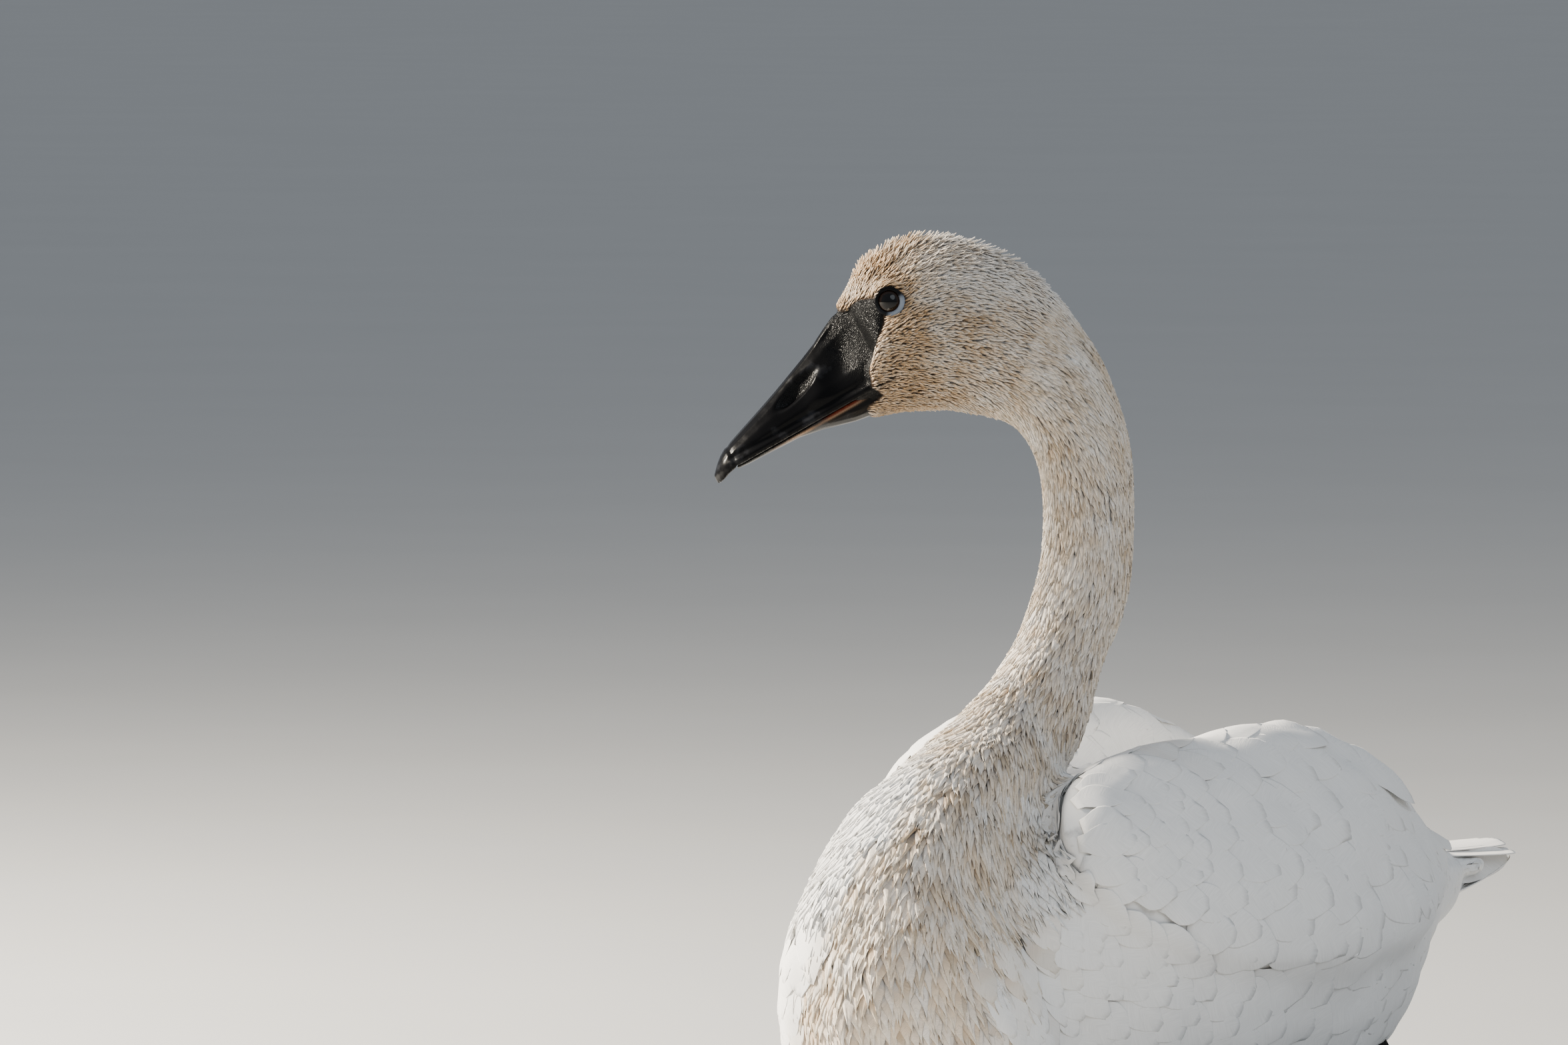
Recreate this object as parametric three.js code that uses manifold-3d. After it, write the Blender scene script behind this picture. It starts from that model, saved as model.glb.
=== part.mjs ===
// A life-size trumpeter swan (Cygnus buccinator), a still model resting on its belly.
// Its body lies along Y with the breast towards -Y. The neck leans back over the breast,
// and the head is turned to the bird's right, with the all-black bill pointing down.
// Frame: millimetres, +Z up, +X to the bird's left. The origin is on the floor, at the
// middle of the flat of the belly.
import * as THREE from 'three';
import { mergeVertices } from 'three/addons/utils/BufferGeometryUtils.js';
import Module from 'manifold-3d';

const wasm = await Module();
wasm.setup();

const GAP = 0.3; // clearance between neighbouring pieces
const FLOOR = 0;
const DEGREES = Math.PI / 180;

// ---- Driving dimensions ---------------------------------------------------------------

const HEAD_TURN = 58 * DEGREES; // the head's heading, turned right from the body's
const HEAD_PLANE = 54.2; // distance of the head's plane of symmetry from the origin
const HEADING = new THREE.Vector3(-Math.sin(HEAD_TURN), -Math.cos(HEAD_TURN), 0);
const HEAD_LEFT = new THREE.Vector3(Math.cos(HEAD_TURN), -Math.sin(HEAD_TURN), 0);
const UP = new THREE.Vector3(0, 0, 1);

const EYE = { along: 118.3, z: 448.1, radius: 8.4, lateral: 20.6 };
const GAPE = { along: 127.2, z: 399.9 };
const BILL_DROOP = 29.6 * DEGREES; // the tomium's slope below the horizontal

// Cross-sections of the trunk, front to back: half width, top, bottom and the height
// at which it is widest. A bottom below the floor is cut flat there.
const TRUNK = [
  { y: -240, half: 14, top: 128, bottom: 62, wide: 98 },
  { y: -226, half: 36, top: 146, bottom: 34, wide: 98 },
  { y: -202, half: 53, top: 161, bottom: 15, wide: 98 },
  { y: -178, half: 69, top: 173, bottom: 5, wide: 98 },
  { y: -152, half: 93, top: 181, bottom: -2, wide: 99 },
  { y: -118, half: 114, top: 187, bottom: -6, wide: 101 },
  { y: -76, half: 127, top: 189, bottom: -8, wide: 103 },
  { y: -30, half: 132, top: 189, bottom: -8, wide: 105 },
  { y: 20, half: 133, top: 189, bottom: -8, wide: 106 },
  { y: 90, half: 126, top: 185, bottom: -6, wide: 107 },
  { y: 145, half: 110, top: 176, bottom: 0, wide: 108 },
  { y: 190, half: 91, top: 166, bottom: 11, wide: 109 },
  { y: 230, half: 71, top: 157, bottom: 28, wide: 109 },
  { y: 264, half: 55, top: 149, bottom: 47, wide: 110 },
  { y: 294, half: 43, top: 142, bottom: 67, wide: 112 },
  { y: 320, half: 34, top: 136, bottom: 85, wide: 115 },
  { y: 344, half: 28, top: 131, bottom: 96, wide: 117 },
  { y: 366, half: 21, top: 126, bottom: 103, wide: 117 },
  { y: 386, half: 10, top: 121, bottom: 109, wide: 117 },
];
const TRUNK_ROUND_ABOVE = 2.05; // superellipse powers of the upper and lower halves
const TRUNK_ROUND_BELOW = 2.5;

// Cross-sections of a folded wing: the ridge beside the back, the lower edge on the
// flank, and the bulge between them.
const WING = [
  { y: -164, ridge: [70, 172], edge: [84, 146], thick: 3 },
  { y: -154, ridge: [63, 186], edge: [95, 128], thick: 12 },
  { y: -134, ridge: [58, 197], edge: [106, 108], thick: 20 },
  { y: -100, ridge: [56, 202], edge: [122, 93], thick: 27 },
  { y: -45, ridge: [55, 209], edge: [133, 85], thick: 32 },
  { y: 20, ridge: [55, 212], edge: [136, 82], thick: 34 },
  { y: 77, ridge: [54, 211], edge: [131, 85], thick: 33 },
  { y: 118, ridge: [52, 206], edge: [122, 90], thick: 31 },
  { y: 153, ridge: [49, 196], edge: [110, 96], thick: 27 },
  { y: 200, ridge: [43, 177], edge: [90, 104], thick: 21 },
  { y: 246, ridge: [35, 158], edge: [68, 110], thick: 14 },
  { y: 284, ridge: [27, 143], edge: [49, 117], thick: 9 },
  { y: 312, ridge: [22, 137], edge: [38, 125], thick: 4 },
];
// The right wing is held a little higher than the left, with its shoulder further back.
const RIGHT_WING = { lift: 10, back: 60, from: -164, to: 20 };

// The fan of the tail: half width, height of the middle, thickness and droop of its edges.
const TAIL = [
  { y: 318, half: 22, z: 121.5, thick: 12, droop: 2 },
  { y: 342, half: 33, z: 121.5, thick: 11, droop: 4 },
  { y: 366, half: 38, z: 121, thick: 9, droop: 4 },
  { y: 388, half: 36, z: 120.5, thick: 7, droop: 3 },
  { y: 406, half: 29, z: 120, thick: 5.2, droop: 2 },
  { y: 420, half: 17, z: 119.5, thick: 4, droop: 1 },
  { y: 428, half: 6, z: 119.5, thick: 3, droop: 0 },
];

// The spine of the breast, neck and head: a point, the depth from throat to nape and the
// width there, and how far the nape's side leans back from the vertical in degrees.
const SPINE = [
  { at: [0, -158, 16], depth: 120, width: 136, lean: 84 },
  { at: [0, -184, 52], depth: 156, width: 160, lean: 88 },
  { at: [0, -207, 98], depth: 140, width: 132, lean: 91 },
  { at: [0, -202, 130], depth: 122, width: 116, lean: 103 },
  { at: [1, -180, 157], depth: 102, width: 98, lean: 124 },
  { at: [3, -146, 184], depth: 80, width: 79, lean: 141 },
  { at: [7, -101, 215], depth: 61, width: 60, lean: 138 },
  { at: [12, -81, 240.5], depth: 54.5, width: 53, lean: 123 },
  { at: [16, -67, 267], depth: 50.5, width: 49.5, lean: 115 },
  { at: [19, -54.5, 296.6], depth: 50, width: 48, lean: 104 },
  { at: [20, -51.4, 325], depth: 49, width: 47, lean: 93 },
  { at: [19.4, -51.8, 350.2], depth: 49.7, width: 47, lean: 87 },
  { at: [16.6, -53.5, 369.3], depth: 52, width: 48, lean: 78.4 },
  { at: [11.7, -56.6, 384.4], depth: 54.6, width: 49, lean: 66.9 },
  { at: [5.6, -60.4, 397.4], depth: 60, width: 51, lean: 54.8 },
  { at: [-4.2, -66.5, 410], depth: 69, width: 54, lean: 42 },
  { at: [-17.9, -75.1, 422.6], depth: 82, width: 59, lean: 28.6 },
  { at: [-38, -87.7, 433.4], depth: 92, width: 64, lean: 12.7 },
  { at: [-58.8, -100.6, 435.2], depth: 95.5, width: 65, lean: 0 },
  { at: [-77.4, -112.3, 426.9], depth: 85, width: 58, lean: -10.4 },
  { at: [-89.9, -120.1, 413.6], depth: 65, width: 44, lean: -17.5 },
];
const NECK_CUTS = { breast: 0, lower: 3, middle: 6, upper: 10, head: 15, end: 20 };
const HEAD_ROUND = 2.15;
const CROWN_TAPER = 0.36; // the head narrows from its cheeks to its crown

// The bill along its tomium from the gape: height above it, width, and the depth of the
// lower mandible below it.
const UPPER_BILL = [
  { along: -12, height: 46, width: 41 },
  { along: 0, height: 44.5, width: 40 },
  { along: 16, height: 36.6, width: 36 },
  { along: 34, height: 29.4, width: 32.5 },
  { along: 47, height: 24.4, width: 31 },
  { along: 63.6, height: 18.6, width: 30.5 },
  { along: 79.4, height: 13.2, width: 29 },
  { along: 89, height: 9.4, width: 24 },
  { along: 94.4, height: 6.6, width: 15.5 },
  { along: 97, height: 4, width: 6 },
];
const LOWER_BILL = [
  { along: -16, depth: 15, width: 31 },
  { along: 0, depth: 13.5, width: 31 },
  { along: 16, depth: 10.9, width: 30 },
  { along: 34, depth: 5.8, width: 28 },
  { along: 47, depth: 3.4, width: 26.5 },
  { along: 64, depth: 2.6, width: 25 },
  { along: 77, depth: 2.2, width: 20 },
  { along: 84, depth: 1.6, width: 10 },
];
const NAIL_HOOK = 3.2; // how far the tip's nail hangs below the tomium

// A leg folded flat under the flank, as on the bird's left: the ankle behind, the
// tarsus along the floor, and three webbed toes forward.
const FOOT = { joint: [84, 62], webThick: 2.2 };
const ANKLE = { at: [79, 168, 15], radius: 12.5 };
const TARSUS_RADIUS = 7.6;
const TIBIA_TOP = [74, 138, 44];
const TIBIA_RADIUS = 15;
const TOES = [
  { name: 'inner', length: 98, angle: -11 * DEGREES, radius: 4.6 },
  { name: 'middle', length: 132, angle: 5 * DEGREES, radius: 5.2 },
  { name: 'outer', length: 124, angle: 20 * DEGREES, radius: 4.8 },
];
const HIND_TOE = { length: 19, angle: 155 * DEGREES, radius: 3.2 };

// ---- Colours --------------------------------------------------------------------------

const plumage = (color) =>
  new THREE.MeshStandardMaterial({ color, roughness: 0.85, metalness: 0 });
const WHITE = plumage(0xf1eee9);
const STAINED = plumage(0xd9c4a6);
const HORN = new THREE.MeshStandardMaterial({ color: 0x1d1c20, roughness: 0.4, metalness: 0 });
const IRIS = new THREE.MeshStandardMaterial({ color: 0x1a100b, roughness: 0.08, metalness: 0 });
const BLACK_SKIN = new THREE.MeshStandardMaterial({
  color: 0x232222,
  roughness: 0.6,
  metalness: 0,
});

// ---- Shape helpers --------------------------------------------------------------------

// Values of a table's columns at any place along its key column, on a smooth curve.
function between(table, key) {
  const places = table.map((row) => row[key]);
  const names = Object.keys(table[0]).filter((name) => name !== key);
  const flat = (row) => names.flatMap((name) => row[name]);
  const width = flat(table[0]).length;
  const curve = new THREE.CubicInterpolant(places, table.flatMap(flat), width, []);
  return (place) => {
    const values = Array.from(curve.evaluate(place));
    const row = {};
    for (const name of names) {
      const many = Array.isArray(table[0][name]);
      row[name] = many ? values.splice(0, table[0][name].length) : values.shift();
    }
    return row;
  };
}

// The table's own places, with `steps` equal steps between each pair.
function finer(table, key, steps) {
  const places = [table[0][key]];
  for (let i = 1; i < table.length; i++) {
    const from = table[i - 1][key];
    for (let k = 1; k <= steps; k++) places.push(from + ((table[i][key] - from) * k) / steps);
  }
  return places;
}

// A closed skin over rings of equally many points, with flat ends.
function loft(rings) {
  const count = rings[0].length;
  const points = rings.flat();
  const faces = [];
  for (let r = 0; r + 1 < rings.length; r++) {
    for (let i = 0; i < count; i++) {
      const j = (i + 1) % count;
      const [a, b] = [r * count + i, r * count + j];
      faces.push(a, b, b + count, a, b + count, a + count);
    }
  }
  const last = (rings.length - 1) * count;
  const middle = (ring) =>
    ring.reduce((sum, p) => sum.add(p), new THREE.Vector3()).divideScalar(count);
  points.push(middle(rings[0]), middle(rings[rings.length - 1]));
  for (let i = 0; i < count; i++) {
    const j = (i + 1) % count;
    faces.push(j, i, points.length - 2, last + i, last + j, points.length - 1);
  }
  const geometry = new THREE.BufferGeometry().setFromPoints(points);
  geometry.setIndex(faces);
  return facingOut(geometry);
}

// The same skin with its faces turned round if they point inwards.
function facingOut(geometry) {
  const p = geometry.getAttribute('position');
  const index = geometry.index.array;
  const corner = (k) => new THREE.Vector3().fromBufferAttribute(p, index[k]);
  let volume = 0;
  for (let f = 0; f < index.length; f += 3) {
    volume += corner(f).dot(corner(f + 1).cross(corner(f + 2)));
  }
  if (volume < 0) {
    for (let f = 0; f < index.length; f += 3) {
      [index[f + 1], index[f + 2]] = [index[f + 2], index[f + 1]];
    }
  }
  return geometry;
}

// A point of a superellipse with half axes 1 and 1.
function rounded(angle, power) {
  const [c, s] = [Math.cos(angle), Math.sin(angle)];
  return [
    Math.sign(c) * Math.abs(c) ** (2 / power),
    Math.sign(s) * Math.abs(s) ** (2 / power),
  ];
}

function ring(count, place) {
  return Array.from({ length: count }, (_, i) => place((i / count) * 2 * Math.PI));
}

function solid(geometry) {
  const bare = geometry.clone();
  bare.deleteAttribute('normal');
  bare.deleteAttribute('uv');
  const merged = mergeVertices(bare, 1e-4);
  return new wasm.Manifold(
    new wasm.Mesh({
      numProp: 3,
      vertProperties: merged.getAttribute('position').array,
      triVerts: new Uint32Array(merged.index.array),
    }),
  );
}

function skinOf(manifold) {
  const mesh = manifold.getMesh();
  const geometry = new THREE.BufferGeometry();
  geometry.setAttribute('position', new THREE.BufferAttribute(mesh.vertProperties, 3));
  geometry.setIndex(new THREE.BufferAttribute(mesh.triVerts, 1));
  geometry.computeVertexNormals();
  return geometry;
}

// The largest body left by a cut; slivers beside it are dropped.
function largest(manifold) {
  return manifold.decompose().sort((a, b) => b.volume() - a.volume())[0];
}

// ---- Trunk, wings and tail ------------------------------------------------------------

function trunk(grow = 0) {
  const rings = TRUNK.map(({ y, ...s }) => {
    return ring(32, (angle) => {
      const above = Math.sin(angle) >= 0;
      const [c, k] = rounded(angle, above ? TRUNK_ROUND_ABOVE : TRUNK_ROUND_BELOW);
      const reach = (above ? s.top - s.wide : s.wide - s.bottom) + grow;
      const z = Math.max(FLOOR, s.wide + reach * k);
      return new THREE.Vector3((s.half + grow) * c, y, z);
    });
  });
  for (const p of rings[0]) p.y -= grow;
  for (const p of rings[rings.length - 1]) p.y += grow;
  return solid(loft(rings));
}

function wing(side, grow = 0) {
  const at = between(WING, 'y');
  const rings = finer(WING, 'y', 2).map((y, i, all) => {
    const s = at(y);
    const right = side < 0 ? 1 : 0;
    const forward = 1 - THREE.MathUtils.smoothstep(y, RIGHT_WING.from, RIGHT_WING.to);
    const back = right * RIGHT_WING.back * forward;
    const lift = right * RIGHT_WING.lift;
    const ridge = new THREE.Vector2(...s.ridge);
    const edge = new THREE.Vector2(...s.edge);
    const middle = ridge.clone().add(edge).divideScalar(2);
    const long = ridge.clone().sub(edge);
    const half = long.length() / 2 + grow;
    long.normalize();
    const out = new THREE.Vector2(long.y, -long.x);
    const end = i === 0 ? -grow : i === all.length - 1 ? grow : 0;
    return ring(16, (angle) => {
      const [c, k] = rounded(angle, 2.15);
      const p = middle.clone().addScaledVector(long, half * k);
      p.addScaledVector(out, (Math.max(2, s.thick) + grow) * c);
      return new THREE.Vector3(side * p.x, y + back + end, p.y + lift);
    });
  });
  return solid(loft(rings));
}

function tail(grow = 0) {
  const at = between(TAIL, 'y');
  const rings = finer(TAIL, 'y', 1).map((y, i, all) => {
    const s = at(y);
    const end = i === 0 ? -grow : i === all.length - 1 ? grow : 0;
    return ring(18, (angle) => {
      const [c, k] = rounded(angle, 2);
      const z = s.z - s.droop * c * c + (s.thick / 2 + grow) * k;
      return new THREE.Vector3((s.half + 1.5 * grow) * c, y + end, z);
    });
  });
  return solid(loft(rings));
}

// ---- Neck and head --------------------------------------------------------------------

// Rings round the spine from one of its points to another, square to it.
function spineRings(from, to, count, grow) {
  const curve = new THREE.CatmullRomCurve3(
    SPINE.map((s) => new THREE.Vector3(...s.at)),
    false,
    'centripetal',
  );
  const sizes = between(SPINE.map(({ at, ...size }, i) => ({ i, ...size })), 'i');
  const rings = [];
  for (let place = from; place <= to; place += 0.5) {
    const share = place / (SPINE.length - 1);
    const centre = curve.getPoint(share);
    // The front is the body's low down and the turned head's higher up.
    const turned = THREE.MathUtils.smoothstep(place, 4, 10);
    const front = new THREE.Vector3(0, -1, 0).lerp(HEADING, turned).normalize();
    const aside = front.clone().cross(UP).negate();
    const { depth, width, lean } = sizes(place);
    const nape = UP.clone()
      .multiplyScalar(Math.cos(lean * DEGREES))
      .addScaledVector(front, -Math.sin(lean * DEGREES));
    const onHead = THREE.MathUtils.smoothstep(place, 13, 17);
    const power = THREE.MathUtils.lerp(2, HEAD_ROUND, onHead);
    rings.push(
      ring(count, (angle) => {
        const [c, k] = rounded(angle, power);
        const taper = 1 - CROWN_TAPER * onHead * Math.max(0, k);
        return centre
          .clone()
          .addScaledVector(aside, (width / 2 + grow) * c * taper)
          .addScaledVector(nape, (depth / 2 + grow) * k);
      }),
    );
  }
  return rings;
}

function spinePiece(from, to, grow = 0, count = 20) {
  const rings = spineRings(from, to, count, grow);
  if (from > 0) {
    // Step the first ring away from the piece before it.
    const [a, b, c] = [0, 1, 2].map((third) => rings[0][Math.floor((third * count) / 3)]);
    const step = b.clone().sub(a).cross(c.clone().sub(a)).setLength(GAP);
    if (step.dot(rings[1][0].clone().sub(a)) < 0) step.negate();
    for (const p of rings[0]) p.add(step);
  }
  return solid(loft(rings));
}

// A point by its distance along the head's heading, its height, and its distance to the
// bird's left of the head's plane of symmetry.
function headPoint(along, z, aside = 0) {
  return new THREE.Vector3()
    .addScaledVector(HEADING, along)
    .addScaledVector(HEAD_LEFT, HEAD_PLANE + aside)
    .setZ(z);
}

function eyeball(side, grow = 0) {
  const ball = new THREE.SphereGeometry(EYE.radius + grow, 12, 9);
  const centre = headPoint(EYE.along, EYE.z, side * EYE.lateral);
  ball.translate(centre.x, centre.y, centre.z);
  return solid(ball);
}

// ---- Bill -----------------------------------------------------------------------------

const billForward = HEADING.clone()
  .multiplyScalar(Math.cos(BILL_DROOP))
  .addScaledVector(UP, -Math.sin(BILL_DROOP));
const billUp = HEADING.clone()
  .multiplyScalar(Math.sin(BILL_DROOP))
  .addScaledVector(UP, Math.cos(BILL_DROOP));

function billPoint(along, height, aside) {
  return headPoint(GAPE.along, GAPE.z)
    .addScaledVector(billForward, along)
    .addScaledVector(billUp, height)
    .addScaledVector(HEAD_LEFT, aside);
}

function upperBill(grow = 0) {
  const at = between(UPPER_BILL, 'along');
  const tip = UPPER_BILL[UPPER_BILL.length - 1].along;
  const rings = finer(UPPER_BILL, 'along', 2).map((along, i, all) => {
    const s = at(along);
    const end = i === 0 ? -grow : i === all.length - 1 ? grow : 0;
    const hook = NAIL_HOOK * THREE.MathUtils.smoothstep(along, tip - 12, tip);
    return ring(20, (angle) => {
      const [c, k] = rounded(angle, 2);
      // A domed top narrowing to the culmen, over a flat underside.
      const high = k > 0.01 ? k : 0;
      const narrow = 1 - 0.32 * high * THREE.MathUtils.smoothstep(60 - along, 0, 50);
      const height = high ? s.height * high ** 0.9 + 1.4 * grow : -grow;
      return billPoint(along + end, height - hook, (s.width / 2 + 1.4 * grow) * c * narrow);
    });
  });
  return solid(loft(rings));
}

function lowerBill(grow = 0) {
  const at = between(LOWER_BILL, 'along');
  const rings = finer(LOWER_BILL, 'along', 1).map((along, i, all) => {
    const s = at(along);
    const end = i === 0 ? -grow : i === all.length - 1 ? grow : 0;
    return ring(16, (angle) => {
      const [c, k] = rounded(angle, 2.2);
      const height = k >= 0 ? -GAP + grow : -GAP - s.depth * Math.abs(k) - grow;
      return billPoint(along + end, height, (s.width / 2 + grow) * c);
    });
  });
  return solid(loft(rings));
}

// ---- Legs -----------------------------------------------------------------------------

// A tapered round limb between points, each with its radius, with its sole cut flat at
// the floor.
function limb(stops, grow = 0, count = 7) {
  const path = stops.map((s) => new THREE.Vector3(...s.at));
  const last = path.length - 1;
  const first = path[0].clone().sub(path[1]).setLength(grow);
  const beyond = path[last].clone().sub(path[last - 1]).setLength(grow);
  path[0].add(first);
  path[last].add(beyond);
  const rings = stops.map((s, i) => {
    const radius = s.radius + grow;
    const along = path[Math.min(i + 1, last)]
      .clone()
      .sub(path[Math.max(i - 1, 0)])
      .normalize();
    const aside = along.clone().cross(UP).normalize();
    const over = aside.clone().cross(along).normalize();
    return ring(count, (angle) => {
      const p = path[i]
        .clone()
        .addScaledVector(aside, radius * Math.cos(angle))
        .addScaledVector(over, radius * Math.sin(angle));
      return p.setZ(Math.max(FLOOR - grow, p.z));
    });
  });
  return solid(loft(rings));
}

function toe(side, { length, angle, radius }, grow) {
  const [x, y] = FOOT.joint;
  const stop = (share, size) => {
    const reach = length * share;
    return {
      at: [side * (x + Math.sin(angle) * reach), y - Math.cos(angle) * reach, radius * size * 0.85],
      radius: radius * size,
    };
  };
  const stops = [
    stop(-0.04, 0.9),
    stop(0, 1.15),
    stop(0.3, 0.95),
    stop(0.36, 1.1),
    stop(0.66, 0.9),
    stop(0.86, 0.78),
    stop(0.91, 0.6),
    stop(1, 0.16),
  ];
  return limb(stops, grow);
}

// The web fills the span from the inner to the outer toe, with scalloped front edges.
function web(side, grow) {
  const [x, y] = FOOT.joint;
  const tip = ({ length, angle }, share) =>
    new THREE.Vector2(x + Math.sin(angle) * length * share, y - Math.cos(angle) * length * share);
  const outline = [new THREE.Vector2(x, y + 4)];
  TOES.forEach((digit, i) => {
    if (i > 0) {
      const before = TOES[i - 1];
      outline.push(tip(before, 0.8).lerp(tip(digit, 0.8), 0.5));
    }
    outline.push(tip(digit, 0.88));
  });
  const middle = tip(TOES[1], 0.45);
  for (const p of outline) p.add(p.clone().sub(middle).setLength(1.5 * grow));
  const shape = new THREE.Shape(outline.map((p) => new THREE.Vector2(side * p.x, p.y)));
  const depth = FOOT.webThick + 2 * grow;
  const sheet = new THREE.ExtrudeGeometry(shape, { depth, bevelEnabled: false });
  return solid(sheet.translate(0, 0, FLOOR - grow));
}

function foot(side, grow = 0) {
  const digits = [...TOES, HIND_TOE].map((digit) => toe(side, digit, grow));
  return digits.reduce((whole, digit) => whole.add(digit), web(side, grow));
}

function leg(side, grow = 0) {
  const [x, y] = FOOT.joint;
  const [ax, ay, az] = ANKLE.at;
  const tarsus = [
    { at: [side * x, y + 6, 7], radius: TARSUS_RADIUS },
    { at: [side * (x - 1), y + 30, 7], radius: TARSUS_RADIUS * 0.92 },
    { at: [side * ax, ay - 22, az - 6], radius: TARSUS_RADIUS },
    { at: [side * ax, ay - 6, az - 2], radius: ANKLE.radius },
    { at: [side * ax, ay + 5, az - 1], radius: ANKLE.radius * 0.9 },
    { at: [side * ax, ay + 11, az], radius: ANKLE.radius * 0.4 },
  ];
  const [tx, ty, tz] = TIBIA_TOP;
  const tibia = [
    { at: [side * ax, ay - 2, az + 1], radius: ANKLE.radius * 0.8 },
    { at: [(side * (ax + tx)) / 2, (ay + ty) / 2, (az + tz) / 2], radius: ANKLE.radius },
    { at: [side * tx, ty, tz], radius: TIBIA_RADIUS },
  ];
  return limb(tarsus, grow).add(limb(tibia, grow));
}

// ---- Assembly -------------------------------------------------------------------------

const swan = new THREE.Group();
swan.name = 'trumpeter_swan';

function put(name, manifold, material) {
  const mesh = new THREE.Mesh(skinOf(largest(manifold)), material);
  mesh.name = name;
  swan.add(mesh);
}

const SIDES = [
  { name: 'left', side: 1 },
  { name: 'right', side: -1 },
];
const wings = SIDES.map(({ side }) => wing(side));
const wingRoom = SIDES.map(({ side }) => wing(side, GAP));
const feet = SIDES.map(({ side }) => foot(side));
const footRoom = SIDES.map(({ side }) => foot(side, GAP));
const legs = SIDES.map(({ side }, i) => leg(side).subtract(footRoom[i]));
const legRoom = SIDES.map(({ side }) => leg(side, GAP));

const { breast, lower, middle, upper, head, end } = NECK_CUTS;
const wholeTrunk = trunk().add(spinePiece(breast, lower));
const trunkRoom = trunk(GAP).add(spinePiece(breast, lower, GAP));
const body = [...wingRoom, ...footRoom, ...legRoom, tail(GAP)].reduce(
  (rest, room) => rest.subtract(room),
  wholeTrunk,
);
put('trunk', body, WHITE);

SIDES.forEach(({ name }, i) => {
  put(`wing_${name}`, wings[i], WHITE);
  put(`leg_${name}`, legs[i], BLACK_SKIN);
  put(`foot_${name}`, feet[i], BLACK_SKIN);
});

const cutByWings = (piece) => wingRoom.reduce((rest, room) => rest.subtract(room), piece);
put('tail', cutByWings(tail()), WHITE);

put('neck_lower', cutByWings(spinePiece(lower, middle).subtract(trunkRoom)), WHITE);
put('neck_middle', spinePiece(middle, upper), WHITE);
put('neck_upper', spinePiece(upper, head), WHITE);

let skull = spinePiece(head, end);
skull = skull.subtract(upperBill(GAP)).subtract(lowerBill(GAP));
for (const { side } of SIDES) skull = skull.subtract(eyeball(side, GAP));
put('head', skull, STAINED);
put('bill_upper', upperBill(), HORN);
put('bill_lower', lowerBill(), HORN);
for (const { name, side } of SIDES) put(`eye_${name}`, eyeball(side), IRIS);

export default swan;
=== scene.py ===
"""The looks of a life-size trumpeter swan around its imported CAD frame.

One skin is worked out from the CAD pieces of flesh. The coat is then laid over it in solid tufts and
vanes that follow the lie of the feathers from the bill to the tail. Metres, +Z up, +X to the bird's left.
"""

import math

import bmesh
import bpy
import numpy as np
from mathutils import Matrix, Vector
from mathutils.bvhtree import BVHTree
from mathutils.kdtree import KDTree


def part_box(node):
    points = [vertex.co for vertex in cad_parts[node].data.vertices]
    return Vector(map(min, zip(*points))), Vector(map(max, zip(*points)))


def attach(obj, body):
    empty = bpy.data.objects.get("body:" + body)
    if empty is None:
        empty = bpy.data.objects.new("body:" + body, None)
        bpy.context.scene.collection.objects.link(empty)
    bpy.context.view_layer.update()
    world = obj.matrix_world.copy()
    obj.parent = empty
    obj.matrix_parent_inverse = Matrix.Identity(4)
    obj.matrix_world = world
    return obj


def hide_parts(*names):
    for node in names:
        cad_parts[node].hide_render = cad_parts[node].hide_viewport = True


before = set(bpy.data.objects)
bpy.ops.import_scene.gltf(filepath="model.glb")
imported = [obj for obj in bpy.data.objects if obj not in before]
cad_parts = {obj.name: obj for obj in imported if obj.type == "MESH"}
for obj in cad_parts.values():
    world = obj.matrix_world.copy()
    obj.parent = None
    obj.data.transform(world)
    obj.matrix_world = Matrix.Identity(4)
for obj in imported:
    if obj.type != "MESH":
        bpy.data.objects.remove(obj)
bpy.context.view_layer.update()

MM = 0.001
UP = np.array((0.0, 0.0, 1.0))
BACKWARD = np.array((0.0, 1.0, 0.0))

# ---- Driving dimensions ----------------------------------------------------------------------------

SKIN_VOXEL = 2.6 * MM
FOOT_VOXEL = 1.3 * MM
BILL_VOXEL = 0.75 * MM
SEAM_SWELL = 0.45 * MM  # each piece of flesh grows by this, so that the gaps between them close

EYE_OPENING = 5.7 * MM  # radius of the eye that shows between the lids
LID_TUBE = 1.15 * MM  # radius of the lids' rim
SOCKET_REACH = 11 * MM  # how far from the eye's axis the skin is drawn to the lids

HEAD_LEVEL = 0.3  # all that is higher than this is head and neck
TAIL_LEVEL = 0.1195  # height of the line between the tail's fan and the flesh under it
TAIL_START = 318 * MM  # how far behind the origin the tail begins to narrow
TAIL_FREE = 350 * MM  # and where it stands free of the body

GAPE_AHEAD = 8.9 * MM  # the corner of the mouth, from the eye
GAPE_UP = -48.2 * MM
BILL_DROOP = math.radians(29.6)

# The nostril's long hollow and the nail at the bill's tip, in millimetres on the bill.
NOSTRIL_MIDDLE = (35.4, 20.5)
NOSTRIL_TURN = (0.954, 0.30)  # cosine and sine of its slant
NOSTRIL_SIZE = (17.5, 5)  # half its length and half its width
NAIL_START = 83.5

# The swells and hollows of the bare face and the upper bill's sides: how high, where along and above the
# cutting edge, and how far they reach each way, in millimetres.
FACE_SWELLS = ((-4.4, 4, 28, 9, 10), (-1, 12, 17, 7, 7), (1.7, 27, 11.5, 7, 5.5), (0.8, 23, 20, 4, 5))

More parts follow.
